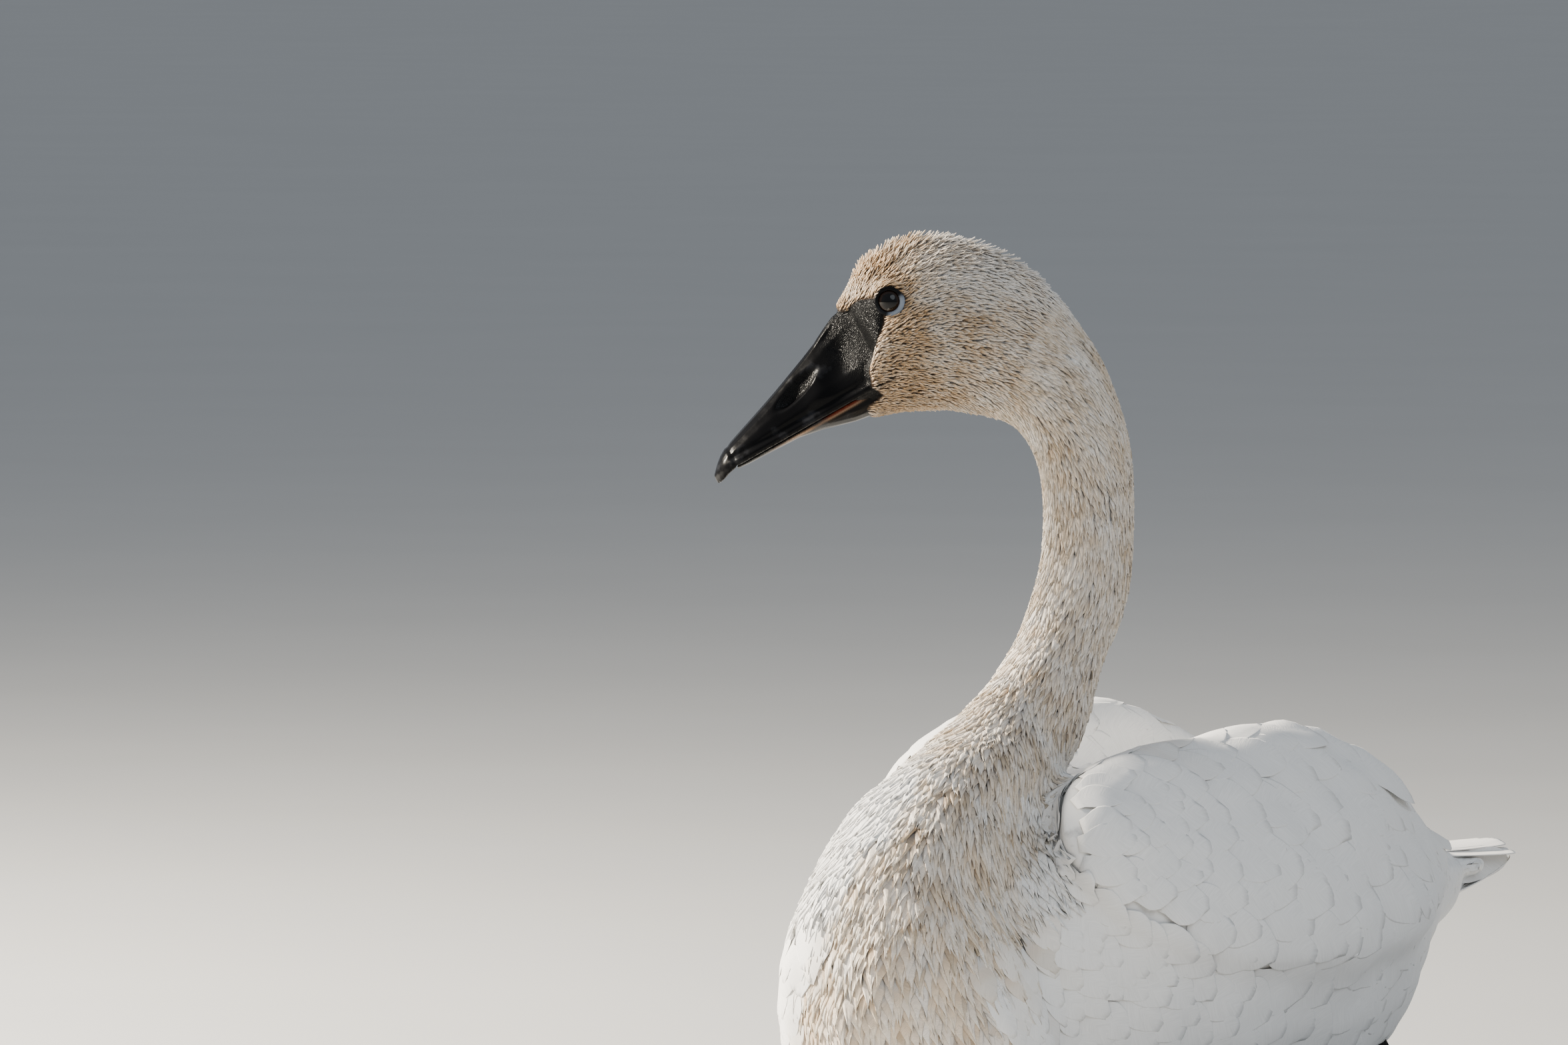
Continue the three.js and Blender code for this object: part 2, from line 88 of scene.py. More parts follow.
# The bare black skin before the eye: its back edge as (height, ahead of the eye) and its top edge as
# (ahead of the eye, height), in millimetres from the eye.
LORE_BACK = ((-65, 15.4), (-58, 10), (-52.4, 3), (-47.3, 9), (-37.2, 11.2), (-24.6, 7.6), (-10.9, 3), (3, 3))
LORE_TOP = ((3, 3), (7.3, 2.3), (15.5, 1.1), (20.9, -0.6), (27.3, -3.9))

# How steeply the feathers of the wing's outer side slant down, in degrees, by distance behind the origin
# in millimetres, and the same for those along its ridge and its inner side.
WING_SLANT = ((-160, 5), (-60, 12), (40, 22), (120, 36), (200, 38), (260, 28), (300, 24))
RIDGE_SLANT = ((0, 2), (60, 8), (120, 25), (300, 28))

# The neck's tufted and stained plumage goes on down the breast as a column: the least and greatest x of
# its front by height, in millimetres. The breast beside it is smooth and white.
COLUMN_RIGHT = ((0, -60), (60, -45), (117, -21), (144, -8), (171, 3), (202, 6), (230, -30))
COLUMN_LEFT = ((0, 78), (60, 70), (102, 63), (123, 58), (142, 53), (160, 50), (184, 40), (230, 60))
COLUMN_REAR = -108 * MM

# Depth of the coat by height above the floor, in millimetres.
COAT_DEPTH = ((0, 3.6), (120, 3.8), (200, 3.4), (300, 2.6), (360, 2.3), (395, 1.9), (480, 1.8))

# How rusty the feathers are by distance from the bill in millimetres.
STAIN = ((0, 1), (18, 0.96), (40, 0.76), (70, 0.54), (110, 0.50), (480, 0.50), (640, 0.32), (720, 0.05))

WHITE = np.array((0.90, 0.89, 0.87))
CREAM = np.array((0.80, 0.66, 0.46))
OCHRE = np.array((0.52, 0.29, 0.11))
# Brown of the rust stain at the feathers' roots, which also serves as painted shade in the gaps between the
# tufts.
STAIN_AND_GAP_SHADE_BROWN = np.array((0.070, 0.043, 0.025))
BLACK = np.array((0.0030, 0.0030, 0.0034))
LIMB_BLACK = BLACK * 1.4
LID_PALE = np.array((0.22, 0.25, 0.30))
GAPE_RED = np.array((0.085, 0.016, 0.008))
GAPE_TAN = np.array((0.30, 0.19, 0.12))
LID_POLISH = 0.6  # of bare skin, from 0 where it is matt to 1 where it is glossy
LIMB_POLISH = 0.1


def unit(v):
    """v, or each row of it, at length 1."""
    return v / np.maximum(np.linalg.norm(v, axis=-1, keepdims=True), 1e-12)


def ramp(x, start, end):
    """A smooth step from 0 where x is start to 1 where it is end, on either side of start."""
    t = np.clip((x - start) / (end - start), 0, 1)
    return t * t * (3 - 2 * t)


def mix(a, b, share):
    """a where share is 0 and b where it is 1."""
    share = np.asarray(share)[..., None]
    return a * (1 - share) + b * share


def table(x, rows):
    """The second column of rows at x, where both columns are in millimetres."""
    return np.interp(x / MM, *np.array(rows, float).T) * MM


def hump(x, y, reach_x, reach_y):
    """1 where x and y are 0, and less by a bell's curve away from there."""
    return np.exp(-((x / reach_x) ** 2) - (y / reach_y) ** 2)


def mottle(p, size, seed):
    """Smooth noise over space, about -1 to 1, whose patches are about size across."""
    rng = np.random.default_rng(seed)
    total = np.zeros(p.shape[:-1])
    for wave in range(9):
        direction = unit(rng.normal(size=3)) * (2 + wave * 0.35) * math.pi / (2 * size)
        total += np.sin(p @ direction + rng.uniform(0, 2 * math.pi))
    return total / 3


# ---- The head's and the bill's own frames -----------------------------------------------------------


def centre_of(node):
    """The middle of a CAD node's box."""
    low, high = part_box(node)
    return np.array((low + high) / 2)


EYES = {"left": centre_of("eye_left"), "right": centre_of("eye_right")}
BROW = (EYES["left"] + EYES["right"]) / 2
HEAD_LEFT = unit(EYES["left"] - EYES["right"])
HEADING = np.cross(HEAD_LEFT, UP)
EYE_RADIUS = float(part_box("eye_left")[1].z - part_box("eye_left")[0].z) / 2
EYE_ASIDE = float(np.linalg.norm(EYES["left"] - BROW))
LID_ASIDE = EYE_ASIDE + math.sqrt(EYE_RADIUS**2 - EYE_OPENING**2)


def out_of_eye(side):
    """The way that one eye faces."""
    return HEAD_LEFT if side == "left" else -HEAD_LEFT


def in_head(p):
    """How far p is ahead of the eyes, to the head's left of its middle, and above the eyes."""
    d = p - BROW
    return d @ HEADING, d @ HEAD_LEFT, d @ UP


def beside_eye(p, reach):
    """Whether p is within reach of the axis of the eye on its own side of the head."""
    ahead, aside, up = in_head(p)
    return (np.hypot(ahead, up) < reach) & (np.abs(aside) > 0.5 * EYE_ASIDE)


def on_bill(p):
    """How far p is along the cutting edge from the gape, aside, and above that edge."""
    ahead, aside, up = in_head(p)
    x, z = ahead - GAPE_AHEAD, up - GAPE_UP
    along = x * math.cos(BILL_DROOP) - z * math.sin(BILL_DROOP)
    high = x * math.sin(BILL_DROOP) + z * math.cos(BILL_DROOP)
    return along, aside, high


def on_bill_in_mm(p):
    """The same in millimetres."""
    return (v / MM for v in on_bill(p))


def bareness(p, soft=0.7 * MM):
    """1 on the bare skin between the eye and the bill, and 0 where feathers grow."""
    ahead, _, up = in_head(p)
    behind = ramp(ahead - table(up, LORE_BACK), -soft, soft)
    under = ramp(table(ahead, LORE_TOP) - up, -soft, soft)
    return behind * under * ramp(p @ UP, 0.34, 0.35)


def parting(p):
    """1 on the black line that runs back from the corner of the mouth, and 0 off it."""
    along, _, high = on_bill_in_mm(p)
    return ramp(along, -15, -12) * ramp(along, 3, 0) * np.exp(-((high + along * 0.06) ** 2) / 1.1)


def in_column(p):
    """How far p is inside the edge of the breast's tufted column, less than 0 outside it."""
    x, y, z = np.moveaxis(p, -1, 0)
    sideways = np.minimum(x - table(z, COLUMN_RIGHT), table(z, COLUMN_LEFT) - x)
    return np.minimum(sideways, COLUMN_REAR - y) + 4 * MM * mottle(p, 12 * MM, 8)


def neck_crease(p):
    """How deep the furrow is between the folded neck and the near shoulder, in metres."""
    x, y, z = np.moveaxis(p, -1, 0)
    across = np.exp(-(((x - table(z, COLUMN_LEFT)) / (8 * MM)) ** 2))
    return 4.5 * MM * across * ramp(z, 0.09, 0.14) * ramp(z, 0.205, 0.18) * ramp(y, -0.09, -0.11)


def body_folds(p):
    """Soft swells of the body's plumage, the neck's crease and the wedge under the tail, in metres."""
    _, y, z = np.moveaxis(p, -1, 0)
    swells = 1.4 * MM * mottle(p, 55 * MM, 21) + 0.4 * MM * mottle(p, 28 * MM, 22)
    swells = swells * ramp(z, 0.30, 0.25) * ramp(y, 0.30, 0.27) * ramp(z, 0.01, 0.04)
    wedge = 5 * MM * ramp(y, 0.30, 0.33) * ramp(y, 0.41, 0.35) * ramp(z, 0.1215, 0.1175)
    return swells + wedge - neck_crease(p)


def nostril_place(along, high):
    """Along and across the nostril's hollow from its middle, and how far out that is, with 1 at its rim.

    All but the last are in millimetres on the bill.
    """
    ahead, above = along - NOSTRIL_MIDDLE[0], high - NOSTRIL_MIDDLE[1]
    cos, sin = NOSTRIL_TURN
    x, y = ahead * cos - above * sin, ahead * sin + above * cos
    return x, y, np.hypot(x / NOSTRIL_SIZE[0], y / NOSTRIL_SIZE[1])


def face_relief(p, normal):
    """How far the bare face and the upper bill stand out from their plain form, in metres."""
    along, _, high = on_bill_in_mm(p)
    sideways = ramp(np.abs(normal @ HEAD_LEFT), 0.35, 0.8)
    groove_x, groove_y, out = nostril_place(along, high)
    swells = sum(rise * hump(along - x, high - y, long, tall) for rise, x, y, long, tall in FACE_SWELLS)
    nostril = -2.7 * (1 - ramp(out, 0.5, 1.08))
    hole = -2.0 * hump(groove_x - 6, groove_y + 0.8, 7, 2.0)
    edge_share = ramp(along, -6, 4) * ramp(along, 88, 80)
    rim = 0.9 * np.exp(-(((high - 2.2) / 1.5) ** 2)) * edge_share
    furrow = -0.9 * np.exp(-(((high - 5.6) / 1.5) ** 2)) * edge_share
    past_nail = along - NAIL_START
    nail = 0.4 * ramp(past_nail, 0, 2.5) - 0.35 * np.exp(-((past_nail / 1.1) ** 2))
    return ((swells + nostril + hole + rim + furrow) * sideways + nail) * MM


def no_relief(p, _):
    """The lower bill keeps its plain form."""
    return np.zeros(len(p))


# ---- Meshes as arrays ---------------------------------------------------------------------------------


def placed(name, data):
    """A new object of the scene."""
    obj = bpy.data.objects.new(name, data)
    bpy.context.scene.collection.objects.link(obj)
    return obj


def mesh_of(bm, name):
    """A new mesh of what bm holds, in its stead."""
    mesh = bpy.data.meshes.new(name)
    bm.to_mesh(mesh)
    bm.free()
    return mesh


def make_object(name, points, face_sets, material):
    """An object of the faces in face_sets, arrays of corner numbers, one row for each face."""
    corners = np.concatenate([f.ravel() for f in face_sets]).astype(np.int32)
    sizes = np.concatenate([np.full(len(f), f.shape[1]) for f in face_sets])
    mesh = bpy.data.meshes.new(name)
    mesh.vertices.add(len(points))
    mesh.vertices.foreach_set("co", np.asarray(points, np.float32).ravel())
    mesh.loops.add(len(corners))
    mesh.loops.foreach_set("vertex_index", corners)
    mesh.polygons.add(len(sizes))
    mesh.polygons.foreach_set("loop_start", (np.cumsum(sizes) - sizes).astype(np.int32))
    mesh.update(calc_edges=True)
    mesh.shade_smooth()
    mesh.materials.append(material)
    return placed(name, mesh)


def rows_of(items, name, width, kind=np.float32):
    """One row of width numbers for each of a mesh's items."""
    flat = np.zeros(len(items) * width, kind)
    items.foreach_get(name, flat)
    return flat.reshape(-1, width)


def points_of(mesh):
    """Where each vertex is."""
    return rows_of(mesh.vertices, "co", 3).astype(float)


def normals_of(mesh):
    """The way each vertex faces."""
    return rows_of(mesh.vertex_normals, "vector", 3).astype(float)


def edges_of(mesh):
    """The two vertices of each edge."""
    return rows_of(mesh.edges, "vertices", 2, np.int32)


def quads_of(mesh):
    """The corners of every face; a triangle repeats its last one."""
    rows = [tuple(p.vertices) for p in mesh.polygons]
    return np.array([r if len(r) == 4 else (*r, r[-1]) for r in rows])


def face_sets_of(quads):
    """The true quads, and the triangles among them."""
    is_square = quads[:, 2] != quads[:, 3]
    return [s for s in (quads[is_square], quads[~is_square][:, :3]) if len(s)]


def joined(parts):
    """Several pairs of points and faces as one pair, with the faces renumbered."""
    starts = np.cumsum([0] + [len(points) for points, _ in parts])
    faces = [faces + start for (_, faces), start in zip(parts, starts)]
    return np.concatenate([points for points, _ in parts]), np.concatenate(faces)


def tree_of(points, faces):
    """A surface that the nearest place on it, or a ray's hit, can be asked of."""
    return BVHTree.FromPolygons(points.tolist(), faces.tolist())


def set_points(mesh, points):
    """Moves the vertices."""
    mesh.vertices.foreach_set("co", np.asarray(points, np.float32).ravel())
    mesh.update()


def set_field(mesh, name, kind, key, values):
    """A new attribute of the mesh, with a value for each point."""
    attribute = mesh.attributes.new(name, kind, "POINT")
    attribute.data.foreach_set(key, np.asarray(values, np.float32).ravel())


def set_colour(mesh, name, colour):
    """A new colour attribute, with no transparency."""
    set_field(mesh, name, "FLOAT_COLOR", "color", np.pad(colour, ((0, 0), (0, 1)), constant_values=1))


def neighbour_mean(values, edges):
    """Each vertex's neighbours' mean of values, a row or a number for each vertex."""
    a, b = edges.T
    count = len(values)
    degree = np.maximum(np.bincount(edges.ravel(), minlength=count), 1)
    columns = values.reshape(count, -1).T
    sums = [np.bincount(a, c[b], count) + np.bincount(b, c[a], count) for c in columns]
    return (np.array(sums) / degree).T.reshape(values.shape)


def evened(values, edges, rounds, back=0.53):
    """values smoothed over the mesh; with back, the form keeps its size as it loses its steps."""
    for _ in range(rounds):
        values = values + 0.5 * (neighbour_mean(values, edges) - values)
        if back:
            values = values - back * (neighbour_mean(values, edges) - values)
    return values


def filled(points, normals, edges, rounds):
    """The form with its narrow creases filled and its ridges kept."""
    soft = evened(points, edges, rounds, back=0)
    rise = np.maximum(((soft - points) * normals).sum(1), 0)
    return points + normals * evened(rise, edges, 4, back=0)[:, None]


def refine(mesh, wanted, cuts):
    """Cuts the edges between the mesh's wanted vertices, for finer faces."""
    bm = bmesh.new()
    bm.from_mesh(mesh)
    bm.verts.ensure_lookup_table()
    chosen = [e for e in bm.edges if wanted[e.verts[0].index] and wanted[e.verts[1].index]]
    bmesh.ops.subdivide_edges(bm, edges=chosen, cuts=cuts, use_grid_fill=True)
    bmesh.ops.triangulate(bm, faces=[f for f in bm.faces if len(f.verts) > 4])
    bm.to_mesh(mesh)
    bm.free()
    mesh.update()


# The breast feathers that close over the front of the wing beside the folded neck: an ellipsoid's centre
# and half sizes in millimetres.
SHOULDER_CENTRE = Vector((47, -107, 152))
SHOULDER_SIZE = Vector((44, 46, 42))


def add_shoulder(whole):
    """A rounded solid that melts the left wing's front into the breast."""
    place = Matrix.Translation(SHOULDER_CENTRE * MM)
    size = Matrix.Diagonal((*(SHOULDER_SIZE * MM), 1))
    bmesh.ops.create_icosphere(whole, subdivisions=4, radius=1, matrix=place @ size)


def joined_nodes(names, swell):
    """The CAD nodes' closed forms as one bmesh, each grown outwards by swell."""
    whole = bmesh.new()
    for name in names:
        part = bmesh.new()
        part.from_mesh(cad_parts[name].data)
        bmesh.ops.remove_doubles(part, verts=part.verts, dist=0.01 * MM)
        part.normal_update()
        copies = {v: whole.verts.new(v.co + v.normal * swell) for v in part.verts}
        for face in part.faces:
            whole.faces.new([copies[v] for v in face.verts])
        part.free()
    return whole


def voxel_mesh(name, nodes, voxel, swell):
    """The nodes melted into one even mesh of quads."""
    whole = joined_nodes(nodes, swell)
    if "trunk" in nodes:
        add_shoulder(whole)
    obj = placed(name, mesh_of(whole, name))
    remesh = obj.modifiers.new("remesh", "REMESH")
    remesh.mode = "VOXEL"
    remesh.voxel_size = voxel
    graph = bpy.context.evaluated_depsgraph_get()
    melted = bpy.data.meshes.new_from_object(obj.evaluated_get(graph))
    bpy.data.objects.remove(obj)
    return melted


# ---- The skin -------------------------------------------------------------------------------------------

COATED = ("trunk", "wing_left", "wing_right", "tail", "neck_lower", "neck_middle", "neck_upper", "head")
WING_NUMBERS = [COATED.index("wing_left"), COATED.index("wing_right")]
LIMBS = ("leg_left", "leg_right", "foot_left", "foot_right")
FACE = ("bill_upper", "bill_lower", "eye_left", "eye_right")
BARE_DEPTH = 0.5 * MM  # the bare skin lies this far inside the outer form
BILL_ENTRY = 16 * MM  # the skin ends this far inside the bill


class Skin:
    """The body's surface as arrays, with the fields that the coat is laid by."""

    def __init__(self, mesh, bill_tree):
        edges = edges_of(mesh)
        rough = points_of(mesh)
        fine = evened(rough, edges, 9)
        broad = evened(fine, edges, 50)
        set_points(mesh, broad)
        smooth = filled(broad, normals_of(mesh), edges, 80)
        set_points(mesh, smooth)
        broad = smooth + normals_of(mesh) * body_folds(smooth)[:, None]
        set_points(mesh, mix(broad, fine, ramp(rough @ UP, 0.30, 0.36)))
        ahead, _, up = in_head(points_of(mesh))
        in_face = (ahead > -9 * MM) & (up > -75 * MM) & (on_bill(points_of(mesh))[0] < 24 * MM)
        refine(mesh, in_face, cuts=2)
        self.edges = edges_of(mesh)
        self.quads = quads_of(mesh)
        self.outer = evened(points_of(mesh), self.edges, 2)
        set_points(mesh, self.outer)
        self.node = node_of_faces(self, COATED + FACE)
        self.on_wing = np.isin(self.node, WING_NUMBERS)
        self.outward = unit(evened(normals_of(mesh), self.edges, 3, back=0))
        self.depth = self.coat_depth()
        self.points = self.outer - self.outward * (self.depth + self.brow_step())[:, None]
        self.points = tucked_tail(self.points)
        self.points = self.draw_to_lids(self.points)
        self.points = self.seat_on_bill(self.points, bill_tree)
        set_points(mesh, self.points)
        self.normals = unit(evened(normals_of(mesh), self.edges, 2, back=0))
        self.tree = tree_of(self.points, self.quads)
        self.flow = self.spread_flow()
        self.wing = self.wing_share()
        self.lie = self.lie_of_coat()
        self.reach = self.distance_from_bill()

    def coat_depth(self):
        """How far the skin lies under the coat's outer form, less where the form is thin."""
        tree = tree_of(self.outer, self.quads)
        starts = (self.outer - self.outward * 0.2 * MM).tolist()
        inwards = (-self.outward).tolist()
        thickness = []
        for start, inward in zip(starts, inwards):
            distance = tree.ray_cast(start, inward)[3]
            thickness.append(distance if distance else 50 * MM)
        depth = np.minimum(table(self.outer @ UP, COAT_DEPTH), 0.3 * np.array(thickness))
        depth = evened(depth, self.edges, 6, back=0)
        bare = bareness(self.outer, soft=2 * MM)
        return depth * (1 - bare) + BARE_DEPTH * bare

    def brow_step(self):
        """The forehead's front edge comes down to meet the bill."""
        ahead, _, up = in_head(self.outer)
        return 1.5 * MM * ramp(ahead, 15 * MM, 25 * MM) * ramp(up, -14 * MM, -6 * MM)

    def draw_to_lids(self, points):
        """The skin round each eye comes in or out to the rim that the lids make."""
        ahead, aside, up = in_head(points)
        away = np.hypot(ahead, up)
        share = 1 - ramp(away, EYE_OPENING + 1.5 * MM, SOCKET_REACH)
        target = LID_ASIDE - 0.2 * MM
        near = (share > 0) & (np.abs(aside) > 0.5 * EYE_ASIDE)
        change = np.where(near, (np.sign(aside) * target - aside) * share, 0)
        return points + change[:, None] * HEAD_LEFT

    def seat_on_bill(self, points, bill_tree):
        """The bare skin lies on the bill's base, and dips under its surface further on."""
        along = on_bill(points)[0]
        share = ramp(along, -15 * MM, -8 * MM) * bareness(self.outer, soft=1.5 * MM)
        shallow = 0.12 * MM - 0.35 * MM * ramp(along, -8 * MM, 6 * MM)
        offset = shallow - 1.5 * MM * ramp(along, 6 * MM, 14 * MM)
        seated = points.copy()
        for number in np.flatnonzero(share > 0.001):
            place, normal, _, _ = bill_tree.find_nearest(points[number])
            target = np.array(place) + np.array(normal) * offset[number]
            seated[number] += share[number] * (target - points[number])
        settled = evened(seated, self.edges, 26, back=0)
        return mix(seated, settled, bareness(self.outer, soft=3 * MM) * ramp(along, 5 * MM, -2 * MM))

    def spread_flow(self):
        """0 at the bill, 1 at the tail's tip, and even between: its slope is the way feathers lie."""
        along = on_bill(self.points)[0]
        rear = self.points @ BACKWARD
        low_end = (along > 0) & (self.points @ UP > HEAD_LEVEL)
        high_end = rear > rear.max() - 5 * MM
        free = ~(low_end | high_end)
        value = ramp(rear, rear.min(), rear.max()) * 0.5 + 0.25
        value[low_end] = 0
        value[high_end] = 1
        degree = np.bincount(self.edges.ravel(), minlength=len(value))

        def steepness(v):
            return (v - neighbour_mean(v, self.edges)) * degree

        residual = np.where(free, -steepness(value), 0)
        direction = residual.copy()
        energy = residual @ residual
        for _ in range(1500):
            image = np.where(free, steepness(direction), 0)
            step = energy / (direction @ image)
            value = value + step * direction
            residual = residual - step * image
            fresh = residual @ residual
            if fresh < 1e-9:
                break
            direction = residual + (fresh / energy) * direction
            energy = fresh
        return value

    def lie_of_coat(self):
        """The way the feathers point at each vertex, along the skin."""
        a, b, c, _ = self.corners(self.points)
        fa, fb, fc, _ = self.corners(self.flow)
        normal = np.cross(b - a, c - a)
        double_area = np.linalg.norm(normal, axis=1)
        normal = unit(normal)
        slope = (
            np.cross(normal, c - b) * fa[:, None]
            + np.cross(normal, a - c) * fb[:, None]
            + np.cross(normal, b - a) * fc[:, None]
        ) / np.maximum(double_area, 1e-12)[:, None]
        total = np.stack([self.gathered(axis) for axis in unit(slope).T], 1)
        lie = evened(unit(total), self.edges, 12, back=0)
        outwards = self.normals[:, 0] * np.sign(self.points[:, 0])
        lie = mix(lie, self.wing_lie(ramp(outwards, 0.15, 0.6)), self.wing * 0.85)
        lie = lie - (lie * self.normals).sum(1)[:, None] * self.normals
        return unit(lie)

    def wing_share(self):
        """1 on the wings and 0 on the rest of the body."""
        share = (self.gathered(self.on_wing) > 0).astype(float)
        return evened(share, self.edges, 8, back=0)

    def wing_lie(self, outer):
        """Down towards the wing's tip on its outer side, and along its ridge on the rest of it."""
        behind = self.points @ BACKWARD / MM
        ridge, side = (np.interp(behind, *np.array(rows).T) for rows in (RIDGE_SLANT, WING_SLANT))
        slant = np.radians(ridge * (1 - outer) + side * outer)
        return np.outer(np.cos(slant), BACKWARD) - np.outer(np.sin(slant), UP)

    def distance_from_bill(self):
        """How far along the bird each vertex is, measured down the middle of the head and neck."""
        slices = 200
        between = np.flatnonzero((self.flow > 0) & (self.flow < 1))
        order = between[np.argsort(self.flow[between])]
        area = self.vertex_area()[order]
        number = np.minimum((np.cumsum(area) / area.sum() * slices).astype(int), slices - 1)
        weight = np.bincount(number, area, slices)
        levels = np.bincount(number, area * self.flow[order], slices) / weight
        middles = np.stack(
            [np.bincount(number, area * self.points[order, k], slices) / weight for k in range(3)], 1
        )
        for _ in range(3):
            middles[1:-1] = (middles[:-2] + 2 * middles[1:-1] + middles[2:]) / 4
        steps = np.linalg.norm(np.diff(middles, axis=0), axis=1)
        self.middles, self.levels = middles, levels
        self.distances = np.concatenate([[0], np.cumsum(steps)])
        return np.interp(self.flow, levels, self.distances)

    def vertex_area(self):
        """The skin's area about each vertex."""
        a, b, c, d = self.corners(self.points)
        quarter = np.linalg.norm(np.cross(c - a, d - b), axis=1) / 8
        return self.gathered(quarter) + 1e-12

    def middle_at(self, flow):
        """The places on the bird's middle line where the flow has these values."""
        return np.stack([np.interp(flow, self.levels, axis) for axis in self.middles.T], 1)

    def corners(self, field):
        """A vertex field's values at the four corners of every face."""
        return (field[self.quads[:, k]] for k in range(4))

    def gathered(self, values):
        """For each vertex, the sum of the values of the faces round it."""
        return sum(np.bincount(self.quads[:, k], values, len(self.points)) for k in range(4))

    def drop(self, places):
        """The places' nearest points on the skin, and the faces they are on."""
        found = [self.tree.find_nearest(p) for p in places.tolist()]
        faces = np.array([f[2] for f in found])
        return np.array([tuple(f[0]) for f in found]), faces

    def at(self, field, places, faces):
        """A vertex field's value at places on faces."""
        corners = self.quads[faces]
        gaps = self.points[corners] - places[:, None]
        weight = 1 / ((gaps**2).sum(-1) + (0.3 * MM) ** 2)
        weight /= weight.sum(1, keepdims=True)
        values = field[corners]
        return np.einsum("nk,nk...->n...", weight, values)


def tucked_tail(points):
    """The wedge of the tail's flesh and under-tail feathers is short, and its top lies under the fan."""
    x, y, z = points.T
    rear = ramp(y, TAIL_START, TAIL_FREE)
    beyond = np.maximum(y - TAIL_FREE, 0)
    squeeze = np.where(z > TAIL_LEVEL, 0.45, 0.05) * rear
    narrow = 1 - 0.2 * rear - 0.25 * ramp(beyond, 0, 60 * MM)
    shorter = 0.4 * beyond * ramp(z, 0.108, 0.116)
    return np.stack([x * narrow, y - shorter, TAIL_LEVEL + (z - TAIL_LEVEL) * (1 - squeeze)], 1)


def node_of_faces(skin, names):
    """For each face of the skin, the number in names of the CAD node that it stands for."""
    meshes = [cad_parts[name].data for name in names]
    parts = [(points_of(mesh), np.array([tuple(f.vertices) for f in mesh.polygons])) for mesh in meshes]
    owners = np.repeat(np.arange(len(names)), [len(faces) for _, faces in parts])
    tree = tree_of(*joined(parts))
    middles = skin.outer[skin.quads].mean(1).tolist()
    return np.array([owners[tree.find_nearest(m)[2]] for m in middles])


# ---- What the coat is coloured by ------------------------------------------------------------------


def stain_of(reach, place):
    """How rusty the feathers are: strongest on the face, less down the neck, faint on the body."""
    along = np.interp(reach / MM, *np.array(STAIN).T)
    on_column = ramp(in_column(place), -3 * MM, 9 * MM)
    on_body = np.maximum(ramp(reach, 0.40, 0.47), ramp(place[..., 2], 0.225, 0.195))
    along = along * (1 - on_body * (1 - on_column))
    ahead, _, up = in_head(place)
    along = along * (1 - 0.45 * ramp(up, -14 * MM, 8 * MM) * ramp(ahead, -2 * MM, -28 * MM))
    patchy = 1 + 0.24 * mottle(place, 16 * MM, 5)
    return np.clip(along * patchy, 0, 1)


def root_stain_and_gap_shade(stain):
    """The colour between the feathers and at their roots: the stain's brown, with painted shade for the gaps
    between the tufts, a little below white where there is no stain.
    """
    return mix(WHITE * 0.96, STAIN_AND_GAP_SHADE_BROWN, np.clip(1.6 * stain**1.6, 0, 1))


def plumage_colour(stain, along, chance):
    """A feather's colour along its length, from a root darkened by the stain's brown and by painted shade
    between the tufts, to a pale tip.
    """
    tip = mix(WHITE, CREAM, np.clip(stain * (0.5 + 0.85 * chance), 0, 1))
    tip = mix(tip, OCHRE, 0.42 * stain**2)
    middle = mix(tip, OCHRE, np.clip(stain * (0.35 + 0.7 * chance), 0, 0.9))
    # Painted shade: the dark root stands for the shade in the gaps between tufts, as well as the stain's
    # brown.
    colour = mix(root_stain_and_gap_shade(stain), middle, ramp(along, 0.15, 0.55))
    colour = mix(colour, tip, ramp(along, 0.5, 0.85))
    return mix(colour, colour * 0.5, stain * ramp(chance, 0.76, 0.96))


# ---- Tufts and vanes ---------------------------------------------------------------------------------

PATCH = 0.003  # a tuft's size on the bake map


def grid_faces(rows, cols):
    """The quads between the points of a grid."""
    i, j = np.mgrid[0 : rows - 1, 0 : cols - 1]
    first = (i * cols + j).ravel()
    return np.stack([first, first + cols, first + cols + 1, first + 1], 1)


def tube_faces(rings, spokes, closed):
    """The quads between the rings of a tube; where it is closed, its last ring meets the first."""
    i, k = np.mgrid[0 : rings if closed else rings - 1, 0:spokes]
    ahead, over = (i + 1) % rings, (k + 1) % spokes
    quads = np.stack([i * spokes + k, ahead * spokes + k, ahead * spokes + over, i * spokes + over], -1)
    return quads.reshape(-1, 4)


def sheet_faces(rows, cols):
    """A closed sheet: a top grid, an underside with the same outline, and the rim between."""
    top = grid_faces(rows, cols)
    count = rows * cols
    down = [i * cols for i in range(rows)]
    across = [(rows - 1) * cols + j for j in range(1, cols)]
    back = [i * cols + cols - 1 for i in range(rows - 2, -1, -1)]
    home = [j for j in range(cols - 2, 0, -1)]
    ring = np.array(down + across + back + home)
    ahead = np.roll(ring, -1)
    rim = np.stack([ahead, ring, ring + count, ahead + count], 1)
    return [np.concatenate([top, top[:, ::-1] + count, rim])]


def keel_faces(rows, cols):
    """A closed tuft: a top grid, and an underside that meets along a keel."""
    top = grid_faces(rows, cols)
    i = np.arange(rows - 1)
    keel = rows * cols + i
    left, right = i * cols, i * cols + cols - 1
    under_left = np.stack([left + cols, left, keel, keel + 1], 1)
    under_right = np.stack([right, right + cols, keel + 1, keel], 1)
    j = np.arange(cols - 1)
    last = (rows - 1) * cols
    root = np.stack([j, j + 1, np.full(cols - 1, rows * cols)], 1)
    tip = np.stack([last + j + 1, last + j, np.full(cols - 1, rows * cols + rows - 1)], 1)
    return [np.concatenate([top, under_left, under_right]), np.concatenate([root, tip])]


